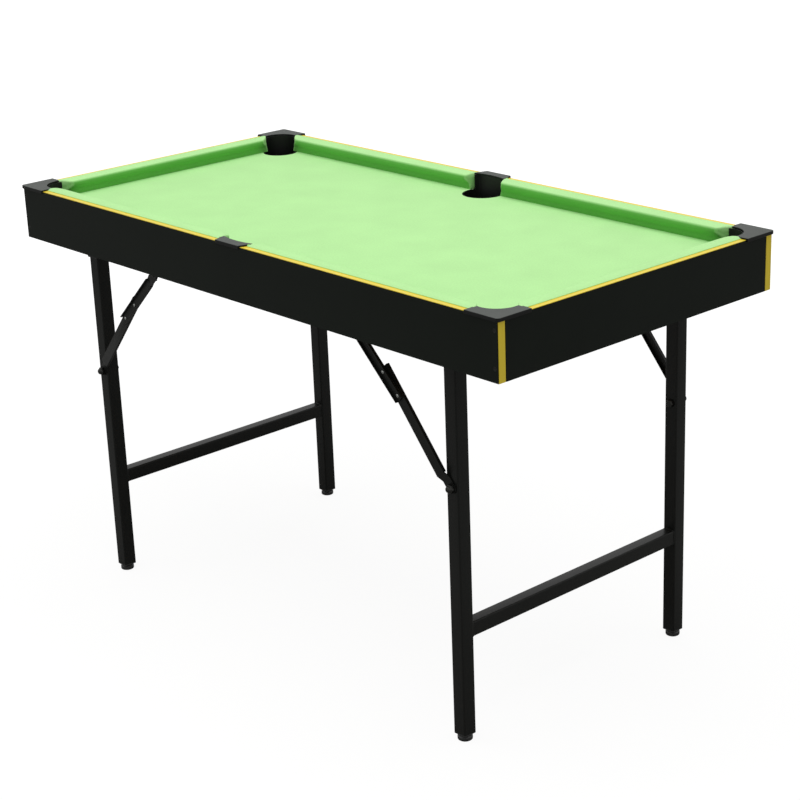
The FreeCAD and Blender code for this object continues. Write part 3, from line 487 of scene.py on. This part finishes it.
def softwood(name, direction, wood, ring):
    """Sawn pine: matt, with darker growth rings about 5 mm apart, drawn out along the piece, and
    fine fibres."""
    material, tree, shader = material_of(name, {"IOR": 1.5, "Roughness": 0.75})
    if tree is None:
        return material
    where = add_node(tree, "TexCoord").outputs["Object"]
    long = (0.12, 1, 1) if direction == "X" else (1, 0.12, 1)
    run = add_node(tree, "Mapping", values={"Scale": long}, links={"Vector": where})
    rings = add_node(tree, "TexWave", {"wave_type": "RINGS", "rings_direction": direction},
                     {"Scale": wave_scale(5 * MM), "Distortion": 6.0, "Detail": 3.0},
                     {"Vector": run.outputs["Vector"]})
    fibre = add_node(tree, "TexNoise", values={"Scale": 1 / (1.5 * MM), "Detail": 4.0},
                     links={"Vector": run.outputs["Vector"]})
    mixed = add_node(tree, "Mix", {"data_type": "RGBA"}, {6: (*wood, 1), 7: (*ring, 1)},
                     {0: rings.outputs["Fac"]})
    relief = add_node(tree, "Bump", values={"Strength": 0.6, "Distance": 0.08 * MM},
                      links={"Height": fibre.outputs["Fac"]})
    feed(tree, shader, {"Base Color": mixed.outputs[2], "Normal": relief.outputs["Normal"]})
    return material


# Cloth


def arc(centre, radius, start, end, count):
    """Points of an arc about a centre, from one angle to another."""
    angle = np.linspace(start, end, count)
    return centre + radius * np.stack([np.cos(angle), np.sin(angle)], axis=1)


def bed_outline(cloth, high):
    """Outline of the playfield cloth in plan, anticlockwise, as an array of points.

    One quarter runs up the end, round the corner pocket, along the long side and round half of
    the side pocket; each pocket is an arc about its axis. The other quarters mirror it. Between
    a straight edge and an arc the outline slants by a few millimetres, under the cushions.
    """
    end_slant, corner_slant, side_slant, side_drop = (size * MM for size in (11, 2, 4, 6))
    arc_start, arc_end = math.radians(-51), math.radians(-220)
    edge = high[:2] - cloth.margin
    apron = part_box("front_apron")
    outer = np.array([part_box("right_apron")[1][0], -apron[0][1]])
    corner = outer - cloth.corner_inset
    bite = arc(corner, cloth.corner_bite, arc_start, arc_end, 90)
    up = np.linspace((edge[0], 0), (edge[0], bite[0, 1] + end_slant), 12)
    axis = outer[1] - cloth.side_inset
    meet = math.asin((edge[1] - axis - side_drop) / cloth.side_bite)
    half = arc((0, axis), cloth.side_bite, meet, -math.pi / 2, 60)
    back = np.linspace((bite[-1, 0] - corner_slant, edge[1]),
                       (half[0, 0] + side_slant, edge[1]), 40)
    quarter = np.concatenate([up, bite, back, half])
    top = np.concatenate([quarter, (quarter * (-1, 1))[-2::-1]])
    return np.concatenate([top, (top * (1, -1))[-2::-1]])


class GAMES_OT_playfield(bpy.types.Operator):
    """Playfield cloth, stretched over the bed and turned down at the pockets"""

    bl_idname = "games.playfield"
    bl_label = "Playfield cloth"

    def execute(self, context):
        cloth = context.scene.table_cloth
        high = np.array(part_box("bed_cloth")[1])
        outline = bed_outline(cloth, high)
        normal = closed_up(normals(outline[:-1]))
        # The rim turns down by a quarter circle: out by its sine, down by 1 less its cosine
        roll = cloth.edge_roll
        rim = outline - roll * normal
        turn = np.linspace(0, math.pi / 2, 6)[:, None, None]
        plan = rim + roll * np.sin(turn) * normal
        drop = roll * (1 - np.cos(turn[:, 0, 0]))
        height = np.broadcast_to((high[2] - drop)[:, None, None], plan.shape[:2] + (1,))
        grid = np.concatenate([plan, height], axis=2)
        mesh = mesh_of("playfield_cloth", [grid], 60, plan, np.zeros(plan.shape[:2]),
                       closed=False, lid=range(len(outline) - 1))
        facing = read(mesh.polygons, "normal", 3)[:, 2]
        if facing.mean() < 0:
            mesh.flip_normals()
        mesh.polygons.foreach_set("use_smooth", np.abs(facing) < 1 - SAME)
        material = baize(cloth.top_colour, cloth.shaded_face_colour)
        piece = put("playfield_cloth", mesh, material, "table", "cloth", "bed_cloth")
        body = piece.modifiers.new("thickness", "SOLIDIFY")
        body.thickness = cloth.thickness
        body.offset = -1
        return {"FINISHED"}


def cushion_section(cloth, width, closed):
    """Section of a cushion as points of reach from the apron and height above the bed.

    The top is the parabola through lap, crown and shoulder, the nose a quarter ellipse, and the
    face falls back below it by the undercut times 3 f^2 - 2 f^3, f running from 0 to 1 over the
    upper six tenths of its height. The notch fits over the wood strip; where closed is true it is
    folded flat against the back, so that cloth covers the strip.
    """
    shoulder = width - cloth.nose_round
    fit = np.polyfit([-cloth.lap, cloth.crown_place, shoulder],
                     [cloth.back_height, cloth.crown_height, cloth.shoulder_height], 2)
    reach = np.linspace(-cloth.lap, shoulder, 18)
    top = np.stack([reach, np.polyval(fit, reach)], axis=1)
    turn = np.linspace(0, math.pi / 2, 10)[1:]
    drop = cloth.shoulder_height - cloth.nose_height
    nose = np.stack([shoulder + cloth.nose_round * np.sin(turn),
                     cloth.nose_height + drop * np.cos(turn)], axis=1)
    share = np.linspace(0, 1, 14)[1:]
    fall = np.minimum(share / 0.6, 1)
    face = np.stack([width - cloth.undercut * fall ** 2 * (3 - 2 * fall),
                     cloth.nose_height * (1 - share)], axis=1)
    lap = [(0, cloth.lap_height), (-cloth.lap, cloth.lap_height)]
    core = [(cloth.core_width, 0), (cloth.core_width, cloth.core_height), (0, cloth.core_height)]
    if closed:
        core = [(0, 0), (0, cloth.core_height / 2), (0, cloth.core_height)]
    return closed_up(np.concatenate([top, nose, face, core + lap]))


def setback(cloth, mouth, section, width):
    """How far the points of a section stand back from a mouth.

    The amount for their height, from foot up to nose, times a power of their reach.
    """
    foot, slant = {"corner": (cloth.corner_foot, cloth.corner_slant),
                   "side": (cloth.side_foot, cloth.side_slant)}[mouth]
    reach = np.clip(section[:, 0] / width, 0, 1) ** cloth.end_bend
    return reach * np.interp(section[:, 1], (0, cloth.nose_height), (foot, slant))


def cushion_surface(cloth, width, ends, mouths):
    """Place along the rail, reach and height of a cushion's points, and each row's end share.

    Each end is a quarter turn: the section is drawn in by the rounding times 1 - sin and its
    place moves in by the rounding times 1 - cos. Two more rows fold it flat onto its middle.
    The rows between the ends share out the way. The end share is the cosine of the turn.
    """
    turns = np.radians([0, 0, 0, 18, 36, 54, 72, 90])
    folds = (1, 0.5, 0, 0, 0, 0, 0, 0)
    beyond = cloth.end_cover - cloth.end_round * (1 - np.cos(turns))
    middle = np.array([width * 0.55, cloth.nose_height * 0.65])
    sides = []
    for end, mouth, sign in zip(ends, mouths, (1, -1)):
        rows = []
        for turn, fold, out in zip(turns, folds, beyond):
            # The section runs clockwise, so its normals point inwards
            ring = cushion_section(cloth, width, out > 0)[:-1]
            ring = ring + cloth.end_round * (1 - math.sin(turn)) * normals(ring)
            section = closed_up(ring + fold * (middle - ring))
            place = end + sign * (setback(cloth, mouth, section, width) - out)
            rows.append((place, section, math.cos(turn)))
        sides.append(rows)
    straight = cushion_section(cloth, width, False)
    near = sides[0][-1][0]
    far = ends[1] - setback(cloth, mouths[1], straight, width) + beyond[-1]
    rows = sides[0] + [(near + share * (far - near), straight, 0)
                       for share in np.linspace(0, 1, 24)[1:-1]] + sides[1][::-1]
    place, section, share = (np.array(part) for part in zip(*rows))
    return place, section[:, :, 0], section[:, :, 1], share[:, None]


def painted_shade_of(cloth, height, share):
    """Painted shade on the cushion cloth: from nothing at the shoulder to all 4 mm below.

    The fold of an end takes off the sine of twice its turn times one share, a painted highlight,
    and the facing beyond the fold another, painted light.
    """
    fade_height, fold_highlight_share, facing_light_share = 4 * MM, 0.35, 0.34
    fade = np.clip((cloth.shoulder_height - height) / fade_height, 0, 1)
    fold = 1 - fold_highlight_share * np.sin(2 * np.arccos(np.minimum(share, 1)))
    return fade * fold * (1 - facing_light_share * np.clip(share * 4 - 3, 0, 1))


class GAMES_OT_cushions(bpy.types.Operator):
    """Six rail cushions: cloth drawn tight over rubber, with folded ends at the pockets"""

    bl_idname = "games.cushions"
    bl_label = "Rail cushions"

    def execute(self, context):
        cloth = context.scene.table_cloth
        material = baize(cloth.top_colour, cloth.shaded_face_colour)
        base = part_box("bed_cloth")[1][2]
        for name, along, inwards, *mouths in CUSHIONS:
            node = name + "_cushion"
            low, high = (np.array(corner)[:2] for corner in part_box(node))
            along, inwards = np.array(along, dtype=float), np.array(inwards, dtype=float)
            width = abs((high - low) @ inwards)
            face = low if inwards.sum() > 0 else high
            place, reach, height, share = cushion_surface(cloth, width,
                                                          (low @ along, high @ along), mouths)
            plan = place[:, :, None] * along + (face @ inwards + reach[:, :, None]) * inwards
            grid = np.concatenate([plan, (base + height)[:, :, None]], axis=2)
            span = np.hypot(np.diff(reach, axis=1), np.diff(height, axis=1))
            girth = np.concatenate([np.zeros((len(span), 1)), np.cumsum(span, axis=1)], axis=1)
            # Painted shade on the cushion faces, lighter at the folded ends and facings
            mesh = mesh_of(node + "_cloth", [grid], 50, np.stack([place, girth], axis=2),
                           painted_shade_of(cloth, height, share))
            piece = put(node + "_cloth", mesh, material, "table", "cushion_cloth", node)
        return {"FINISHED"}


# Board, trim and pockets


class GAMES_OT_aprons(bpy.types.Operator):
    """Vinyl-covered aprons and their yellow edging tape"""

    bl_idname = "games.aprons"
    bl_label = "Aprons and edging"

    def execute(self, context):
        trim = context.scene.table_trim
        vinyl = finish_of("vinyl_laminate", trim.vinyl_colour)
        tape = finish_of("pvc_edging", trim.tape_colour)
        for side in ("front", "back", "left", "right"):
            finished(side + "_apron", vinyl, "apron_vinyl", trim.board_edge, 0)
        for node in ("front_edging", "back_edging", "end_edgings"):
            finished(node, tape, "edging", trim.tape_edge, 0)
        return {"FINISHED"}


class GAMES_OT_boards(bpy.types.Operator):
    """Bed board, battens and the wood strips in the cushions"""

    bl_idname = "games.boards"
    bl_label = "Boards and strips"

    def execute(self, context):
        trim = context.scene.table_trim
        finished("bed_board", finish_of("raw_fibreboard", trim.board_colour), "board", 0, 0)
        pine = trim.wood_colour, trim.ring_colour
        finished("battens", softwood("sawn_pine_batten", "Y", *pine), "board", 0.8 * MM, 0)
        for name, along, *_ in CUSHIONS:
            direction = "X" if along[0] else "Y"
            wood = softwood("sawn_pine_strip_" + direction.lower(), direction, *pine)
            finished(name + "_rail", wood, "rail_wood", 0.4 * MM, 0)
        return {"FINISHED"}


class GAMES_OT_pockets(bpy.types.Operator):
    """Pocket caps, textured on top and smooth on their rims, with the darker cup colour on the
    rims as painted shade, and the cups below them
    """

    bl_idname = "games.pockets"
    bl_label = "Pocket caps and cups"

    def execute(self, context):
        trim = context.scene.table_trim
        cap = finish_of("textured_abs", trim.lit_cap_colour)
        cup = finish_of("moulded_polypropylene", trim.liner_colour)
        for name in CORNERS + ("front_side", "back_side"):
            piece = finished(name + "_cap", cap, "pocket_plastic", trim.cap_edge)
            piece.data.materials.append(cup)
            faces = piece.data.polygons
            # Faces that do not look up are as smooth as the cups, and darker as painted shade
            rim = read(faces, "normal", 3)[:, 2] < 0.5
            faces.foreach_set("material_index", rim.astype(int))
            finished(name + "_cup", cup, "pocket_plastic", trim.cup_edge)
        return {"FINISHED"}


# Steelwork


def weld_bead(steel, low, high, side):
    """Bead round the end of a stretcher, where it meets its leg.

    A circle is carried round the stretcher's outline, a superellipse of the power below. The
    circle's radius swells and shrinks along the way by a sine at the ripple pitch, and a
    quarter of it is sunk in the tube.
    """
    power, ripple_share, sunk = 8, 0.14, steel.bead_radius * 0.25
    middle = (low + high) / 2
    half = (high - low) / 2
    place = np.linspace(0, 2 * np.pi, 241)
    x, z = (np.sign(part) * np.abs(part) ** (2 / power) * reach
            for part, reach in ((np.cos(place), half[0]), (np.sin(place), half[2])))
    path = np.stack([middle[0] + x, np.full(len(x), high[1] if side > 0 else low[1]),
                     middle[2] + z], axis=1)
    out = np.stack([x / half[0] ** 2, z / half[2] ** 2], axis=1)
    out /= np.linalg.norm(out, axis=1)[:, None]
    step = np.linalg.norm(np.diff(path, axis=0), axis=1)
    run = np.concatenate([[0], np.cumsum(step)])
    ripples = round(run[-1] / steel.ripple_pitch)
    swell = ripple_share * np.sin(2 * np.pi * ripples * run / run[-1])
    radius = steel.bead_radius * (1 + swell)[:, None]
    turn = np.linspace(0, 2 * np.pi, 13)
    away = radius * np.cos(turn) - sunk
    return np.stack([path[:, None, 0] + away * out[:, None, 0],
                     path[:, None, 1] - side * radius * np.sin(turn),
                     path[:, None, 2] + away * out[:, None, 1]], axis=2)


class GAMES_OT_leg_frames(bpy.types.Operator):
    """Powder-coated legs, stretchers with their weld beads, and tube plugs"""

    bl_idname = "games.leg_frames"
    bl_label = "Leg frames"

    def execute(self, context):
        steel = context.scene.table_steel
        coat = finish_of("powder_coat", steel.tube_colour)
        plug = finish_of("moulded_nylon", steel.foot_colour)
        for end in ENDS:
            finished(end + "_legs", coat, "tube_paint", 0.25 * MM)
            finished(end + "_stretcher", coat, "tube_paint")
            finished(end + "_plugs", plug, "foot_plastic", 0.4 * MM)
            low, high = (np.array(corner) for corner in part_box(end + "_stretcher"))
            beads = [weld_bead(steel, low, high, side) for side in (-1, 1)]
            put(end + "_weld_beads", mesh_of(end + "_weld_beads", beads, 80), coat,
                end + "_frame", "tube_paint")
        return {"FINISHED"}


class GAMES_OT_braces(bpy.types.Operator):
    """Folding brace arms of pressed channel, each with a stepped tab at its pin"""

    bl_idname = "games.braces"
    bl_label = "Brace arms"

    def execute(self, context):
        coat = finish_of("powder_coat", context.scene.table_steel.tube_colour)
        for end in ENDS:
            for arm in ("_lower_braces", "_upper_braces"):
                finished(end + arm, coat, "tube_paint", 0.3 * MM, 40)
        return {"FINISHED"}


class GAMES_OT_brackets(bpy.types.Operator):
    """Folded sheet brackets of the legs and braces"""

    bl_idname = "games.brackets"
    bl_label = "Brackets"

    def execute(self, context):
        steel = context.scene.table_steel
        paint = finish_of("sheet_paint", steel.bracket_colour)
        for node in ("leg_brackets", "brace_brackets"):
            finished(node, paint, "bracket_steel", steel.sheet_edge)
        return {"FINISHED"}


def outer_tip(low, high, direction):
    """Tip of a fastener and the way its shank points, along Y, which is 1, or Z, which is 2.

    Along Y the tip is the end further from the middle of the table, along Z the lower one.
    """
    side = 1.0 if direction == 1 and low[1] + high[1] > 0 else -1.0
    tip, axis = (low + high) / 2, np.zeros(3)
    tip[direction] = (high if side > 0 else low)[direction]
    axis[direction] = -side
    return tip, axis


def spindle(low, high, shank, inner, outer):
    """Closed grid of a bolt, pin or rivet between its two ends along Y.

    inner and outer are rows of radius, height from that end and hexagon share, from the tip
    inwards. All sizes but the two corners are in millimetres.
    """
    tip, axis = outer_tip(low, high, 1)
    outer, inner = list(outer), list(inner)[::-1]
    outer = np.array([(0, 0, 0)] + outer + [(shank, outer[-1][1], 0)]) * (MM, MM, 1)
    inner = np.array([(shank, inner[0][1], 0)] + inner + [(0, 0, 0)]) * (MM, MM, 1)
    inner[:, 1] = high[1] - low[1] - inner[:, 1]
    rows = np.concatenate([outer, inner])
    return turned(rows[:, :2], tip, axis, rows[:, 2])


def dome(radius, height, lines=6):
    """Rows of a domed head: a quarter ellipse from the tip out to the full radius."""
    turn = np.linspace(0, math.pi / 2, lines)[1:]
    return [(radius * math.sin(angle), height * (1 - math.cos(angle)), 0) for angle in turn]


def cross_recess(grid, tip, axis, reach, depth, arm):
    """Presses a cross into the head of a screw.

    A point near the tip sinks along the axis by depth, fading with the fourth powers of its
    distance from the nearer arm's middle line and of its distance along that arm.
    """
    height = (grid - tip) @ axis
    flat = grid - tip - height[..., None] * axis
    parts = np.sort(np.abs(flat[..., axis == 0]), axis=-1)
    fade = np.exp(-((parts[..., 0] / arm) ** 4) - (parts[..., 1] / reach) ** 4)
    near = height < depth / 2
    return grid + (near * depth * fade)[..., None] * axis


def wood_screw(low, high, direction, depth):
    """Closed grid of a screw: a head that falls away with the square of the radius, with a
    cross recess in it, and its shank."""
    radius, rise, rim, head, shank = (size * MM for size in (3.5, 0.25, 0.5, 1.5, 2))
    dome_end, reach, arm = (radius * share for share in (0.94, 0.55, 0.16))
    tip, axis = outer_tip(low, high, direction)
    whole = (high - low)[direction]
    lines = np.linspace(0, dome_end, 16)
    rows = list(zip(lines, rise * (lines / radius) ** 2))
    rows += [(radius, rim), (radius, head), (shank, head), (shank, whole), (0, whole)]
    grid = turned(rows, tip, axis, around=64)
    return cross_recess(grid, tip, axis, reach, depth, arm)


def put_turned(node, finish, shape, form):
    """Puts one turned shape in the place of each solid of a node."""
    name = node + "_turned"
    grids = [shape(*ends, *form) for ends in lumps(node)]
    put(name, mesh_of(name, grids, 32), finish, BODY_OF[node], "fastener_steel", node)


class GAMES_OT_fasteners(bpy.types.Operator):
    """Pivot bolts, dome nuts, rivets and pins, and the screws of aprons and brackets"""

    bl_idname = "games.fasteners"
    bl_label = "Bolts, rivets and screws"

    def execute(self, context):
        steel = context.scene.table_steel
        metal = finish_of("darkened_steel", steel.fastener_colour)
        bright = finish_of("plated_steel", steel.rivet_colour)
        # Heads: rows of radius and height in millimetres and of hexagon share
        nut = [(5.6, 0, 0.6), (7, 0.8, 1), (7, 4.5, 1)]
        cap = dome(5.6, 4.6) + [(6, 4.7, 0.4), (7.5, 5.4, 1), (7.5, 9.5, 1)]
        rivet = dome(4, 1.6) + [(4, 1.8, 0)]
        button = dome(3, 1.3) + [(3, 1.8, 0)]
        washer = [(2.5, 0, 0)]
        kinds = [("pivot_bolts", 4, nut, nut, metal), ("brace_pins", 2.5, rivet, rivet, metal)]
        for end in ENDS:
            kinds += [(end + "_brace_bolts", 4, nut, cap, metal),
                      (end + "_lower_rivets", 2.5, button, washer, bright),
                      (end + "_upper_rivets", 2.5, washer, button, bright)]
        for node, *form, finish in kinds:
            put_turned(node, finish, spindle, form)
        for node, direction in (("apron_screws", 1), ("bracket_screws", 2)):
            put_turned(node, metal, wood_screw, (direction, steel.recess_depth))
        return {"FINISHED"}


def threaded_stud(pitch, middle, base, top):
    """Threaded stud: its radius falls by the depth of a triangle wave that climbs one
    pitch in each turn, and fades out at both ends."""
    shank, depth, steps = 4 * MM, 0.6 * MM, 8
    height = np.linspace(base, top, int((top - base) / pitch * steps))[:, None]
    angle = np.linspace(0, 2 * np.pi, 33)[None, :]
    phase = np.mod((height - base) / pitch - angle / (2 * np.pi), 1)
    fade = np.clip(np.minimum(height - base, top - height) / pitch, 0, 1)
    radius = shank - depth * fade * (1 - np.abs(2 * phase - 1))
    radius[:, -1] = radius[:, 0]
    ring = np.stack([middle[0] + radius * np.cos(angle), middle[1] + radius * np.sin(angle),
                     np.broadcast_to(height, radius.shape)], axis=2)
    low, high = (np.broadcast_to((middle[0], middle[1], level), ring[:1].shape)
                 for level in (base, top))
    return np.concatenate([low, ring, high])


class GAMES_OT_feet(bpy.types.Operator):
    """Levelling feet: moulded disc with a rounded rim, collar and threaded stud"""

    bl_idname = "games.feet"
    bl_label = "Levelling feet"

    def execute(self, context):
        steel = context.scene.table_steel
        plastic = finish_of("moulded_nylon", steel.foot_colour)
        metal = finish_of("darkened_steel", steel.fastener_colour)
        rim, side, top, collar, collar_top = (size * MM for size in (2.2, 6.4, 9, 6.5, 11))
        turn = np.linspace(0, math.pi / 2, 7)
        for corner in CORNERS:
            node = corner + "_foot"
            low, high = (np.array(point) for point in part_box(node))
            middle = (low + high) / 2
            radius = (high[0] - low[0]) / 2
            # Radius and height of the profile, from the middle of the foot's underside
            disc = [(0, 0), (radius - rim, 0)]
            disc += [(radius - rim + rim * math.sin(a), rim * (1 - math.cos(a))) for a in turn]
            disc += [(radius, side), (radius - 0.6 * MM, side + 0.6 * MM),
                     (radius - 2 * MM, top - 0.4 * MM), (radius - 2.6 * MM, top),
                     (collar + 0.3 * MM, top), (collar, top + 0.3 * MM), (collar, collar_top),
                     (0, collar_top)]
            base = turned(disc, (middle[0], middle[1], low[2]), (0, 0, 1), around=64)
            put(node + "_moulding", mesh_of(node + "_moulding", [base], 40), plastic,
                BODY_OF[node], "foot_plastic", node)
            stud = threaded_stud(steel.thread_pitch, middle, low[2] + collar_top, high[2])
            put(node + "_stud", mesh_of(node + "_stud", [stud], 60), metal, BODY_OF[node],
                "fastener_steel")
        return {"FINISHED"}


# Studio


def lay_paper(studio):
    """Seamless paper. The camera sees a white glow for 0.77 of it out to 0.7 m, so that a
    shadow shows, and for all of it from 3.2 m on. Other rays see the grey paper."""
    half = studio.floor_size / 2
    x, y = np.meshgrid((-half, half), (-half, half))
    mesh = mesh_of("floor", [np.stack([x, y, np.zeros_like(x)], axis=2)], closed=False)
    material, tree, shader = material_of("studio_paper", {
        "Base Color": (*linear("#bcbcba"), 1), "Roughness": 0.9, "Specular IOR Level": 0.0})
    if tree:
        ray = add_node(tree, "LightPath").outputs["Is Camera Ray"]
        where = add_node(tree, "TexCoord").outputs["Object"]
        away = add_node(tree, "VectorMath", {"operation": "LENGTH"}, links={0: where})
        sweep = add_node(tree, "MapRange", {"interpolation_type": "SMOOTHSTEP"},
                         {"From Min": 0.7, "From Max": 3.2, "To Min": 0.77, "To Max": 1.0},
                         {"Value": away.outputs["Value"]})
        share = add_node(tree, "Math", {"operation": "MULTIPLY"},
                         links={0: ray, 1: sweep.outputs["Result"]})
        glow = add_node(tree, "Emission", values={"Color": (1, 1, 1, 1), "Strength": 1.2})
        both = add_node(tree, "MixShader", links={0: share.outputs["Value"],
                                                  1: shader.outputs["BSDF"],
                                                  2: glow.outputs["Emission"]})
        feed(tree, tree.get_output_node("ALL"), {"Surface": both.outputs["Shader"]})
    mesh.materials.append(material)
    added("floor", mesh)


def hang_lamp(studio):
    """Large square soft box above the table."""
    data = bpy.data.lights.new("soft_box", "AREA")
    data.shape = "SQUARE"
    data.size = studio.lamp_size
    data.energy = studio.lamp_power
    lamp = added("soft_box", data)
    lamp.location = (0.15, -0.25, studio.lamp_height)  # A little towards the camera


def set_surround(scene, studio):
    """Even light from all round; camera, glossy and transmission rays see plain white."""
    world = bpy.data.worlds.new("surround")
    scene.world = world
    world.use_nodes = True
    tree = world.node_tree
    tree.nodes.clear()
    path = add_node(tree, "LightPath")
    seen = path.outputs["Is Camera Ray"]
    for ray in ("Is Transmission Ray", "Is Glossy Ray"):
        seen = add_node(tree, "Math", {"operation": "MAXIMUM"},
                        links={0: seen, 1: path.outputs[ray]}).outputs["Value"]
    strength = add_node(tree, "Mix", {"data_type": "FLOAT"}, {2: studio.sky, 3: 1.0}, {0: seen})
    light = add_node(tree, "Background", values={"Color": (1, 1, 1, 1)},
                     links={"Strength": strength.outputs[0]})
    add_node(tree, "OutputWorld", links={"Surface": light.outputs["Background"]})


def set_camera(scene, studio):
    """Camera at the measured place. Unturned it looks down, so a quarter turn makes it look
    along +Y, and pitch, roll and yaw are added to that."""
    turn = (Matrix.Rotation(-studio.yaw, 4, "Z")
            @ Matrix.Rotation(math.pi / 2 + studio.pitch, 4, "X")
            @ Matrix.Rotation(studio.roll, 4, "Z"))
    data = bpy.data.cameras.new("camera")
    data.lens = studio.lens
    data.sensor_width = 36.0
    scene.camera = added("camera", data)
    scene.camera.matrix_world = Matrix.Translation(studio.place) @ turn


class GAMES_OT_studio(bpy.types.Operator):
    """White floor, soft overhead lamp, even surround and the camera"""

    bl_idname = "games.studio"
    bl_label = "Studio"

    def execute(self, context):
        studio = context.scene.table_studio
        scene = context.scene
        scene.view_settings.view_transform = "Standard"
        lay_paper(studio)
        hang_lamp(studio)
        set_surround(scene, studio)
        set_camera(scene, studio)
        return {"FINISHED"}


OPERATORS = (
    GAMES_OT_playfield,
    GAMES_OT_cushions,
    GAMES_OT_boards,
    GAMES_OT_aprons,
    GAMES_OT_pockets,
    GAMES_OT_leg_frames,
    GAMES_OT_braces,
    GAMES_OT_brackets,
    GAMES_OT_fasteners,
    GAMES_OT_feet,
    GAMES_OT_studio,
)


class GAMES_PT_panel(bpy.types.Panel):
    """Lists the steps and the settings in the sidebar of the 3D view"""

    bl_idname = "GAMES_PT_panel"
    bl_label = "Games table"
    bl_space_type = "VIEW_3D"
    bl_region_type = "UI"
    bl_category = "Games table"

    def draw(self, context):
        for operator in OPERATORS:
            self.layout.operator(operator.bl_idname)
        for group in SETTINGS:
            box = self.layout.box()
            settings = getattr(context.scene, group)
            for name in settings.bl_rna.properties.keys()[2:]:  # The first two are Blender's
                box.prop(settings, name)


SETTINGS = {
    "table_cloth": ClothSettings,
    "table_trim": TrimSettings,
    "table_steel": SteelSettings,
    "table_studio": StudioSettings,
}


def register():
    """Registers the settings, the operators and the panel."""
    for name, group in SETTINGS.items():
        bpy.utils.register_class(group)
        setattr(bpy.types.Scene, name, PointerProperty(type=group))
    for item in OPERATORS + (GAMES_PT_panel,):
        bpy.utils.register_class(item)


def unregister():
    """Takes away the panel, the operators and the settings."""
    for item in (GAMES_PT_panel,) + OPERATORS[::-1]:
        bpy.utils.unregister_class(item)
    for name, group in SETTINGS.items():
        delattr(bpy.types.Scene, name)
        bpy.utils.unregister_class(group)


def main():
    """Makes every piece in order."""
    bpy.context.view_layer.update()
    register()
    for operator in OPERATORS:
        group, name = operator.bl_idname.split(".")
        getattr(getattr(bpy.ops, group), name)()


if __name__ == "__main__":
    main()
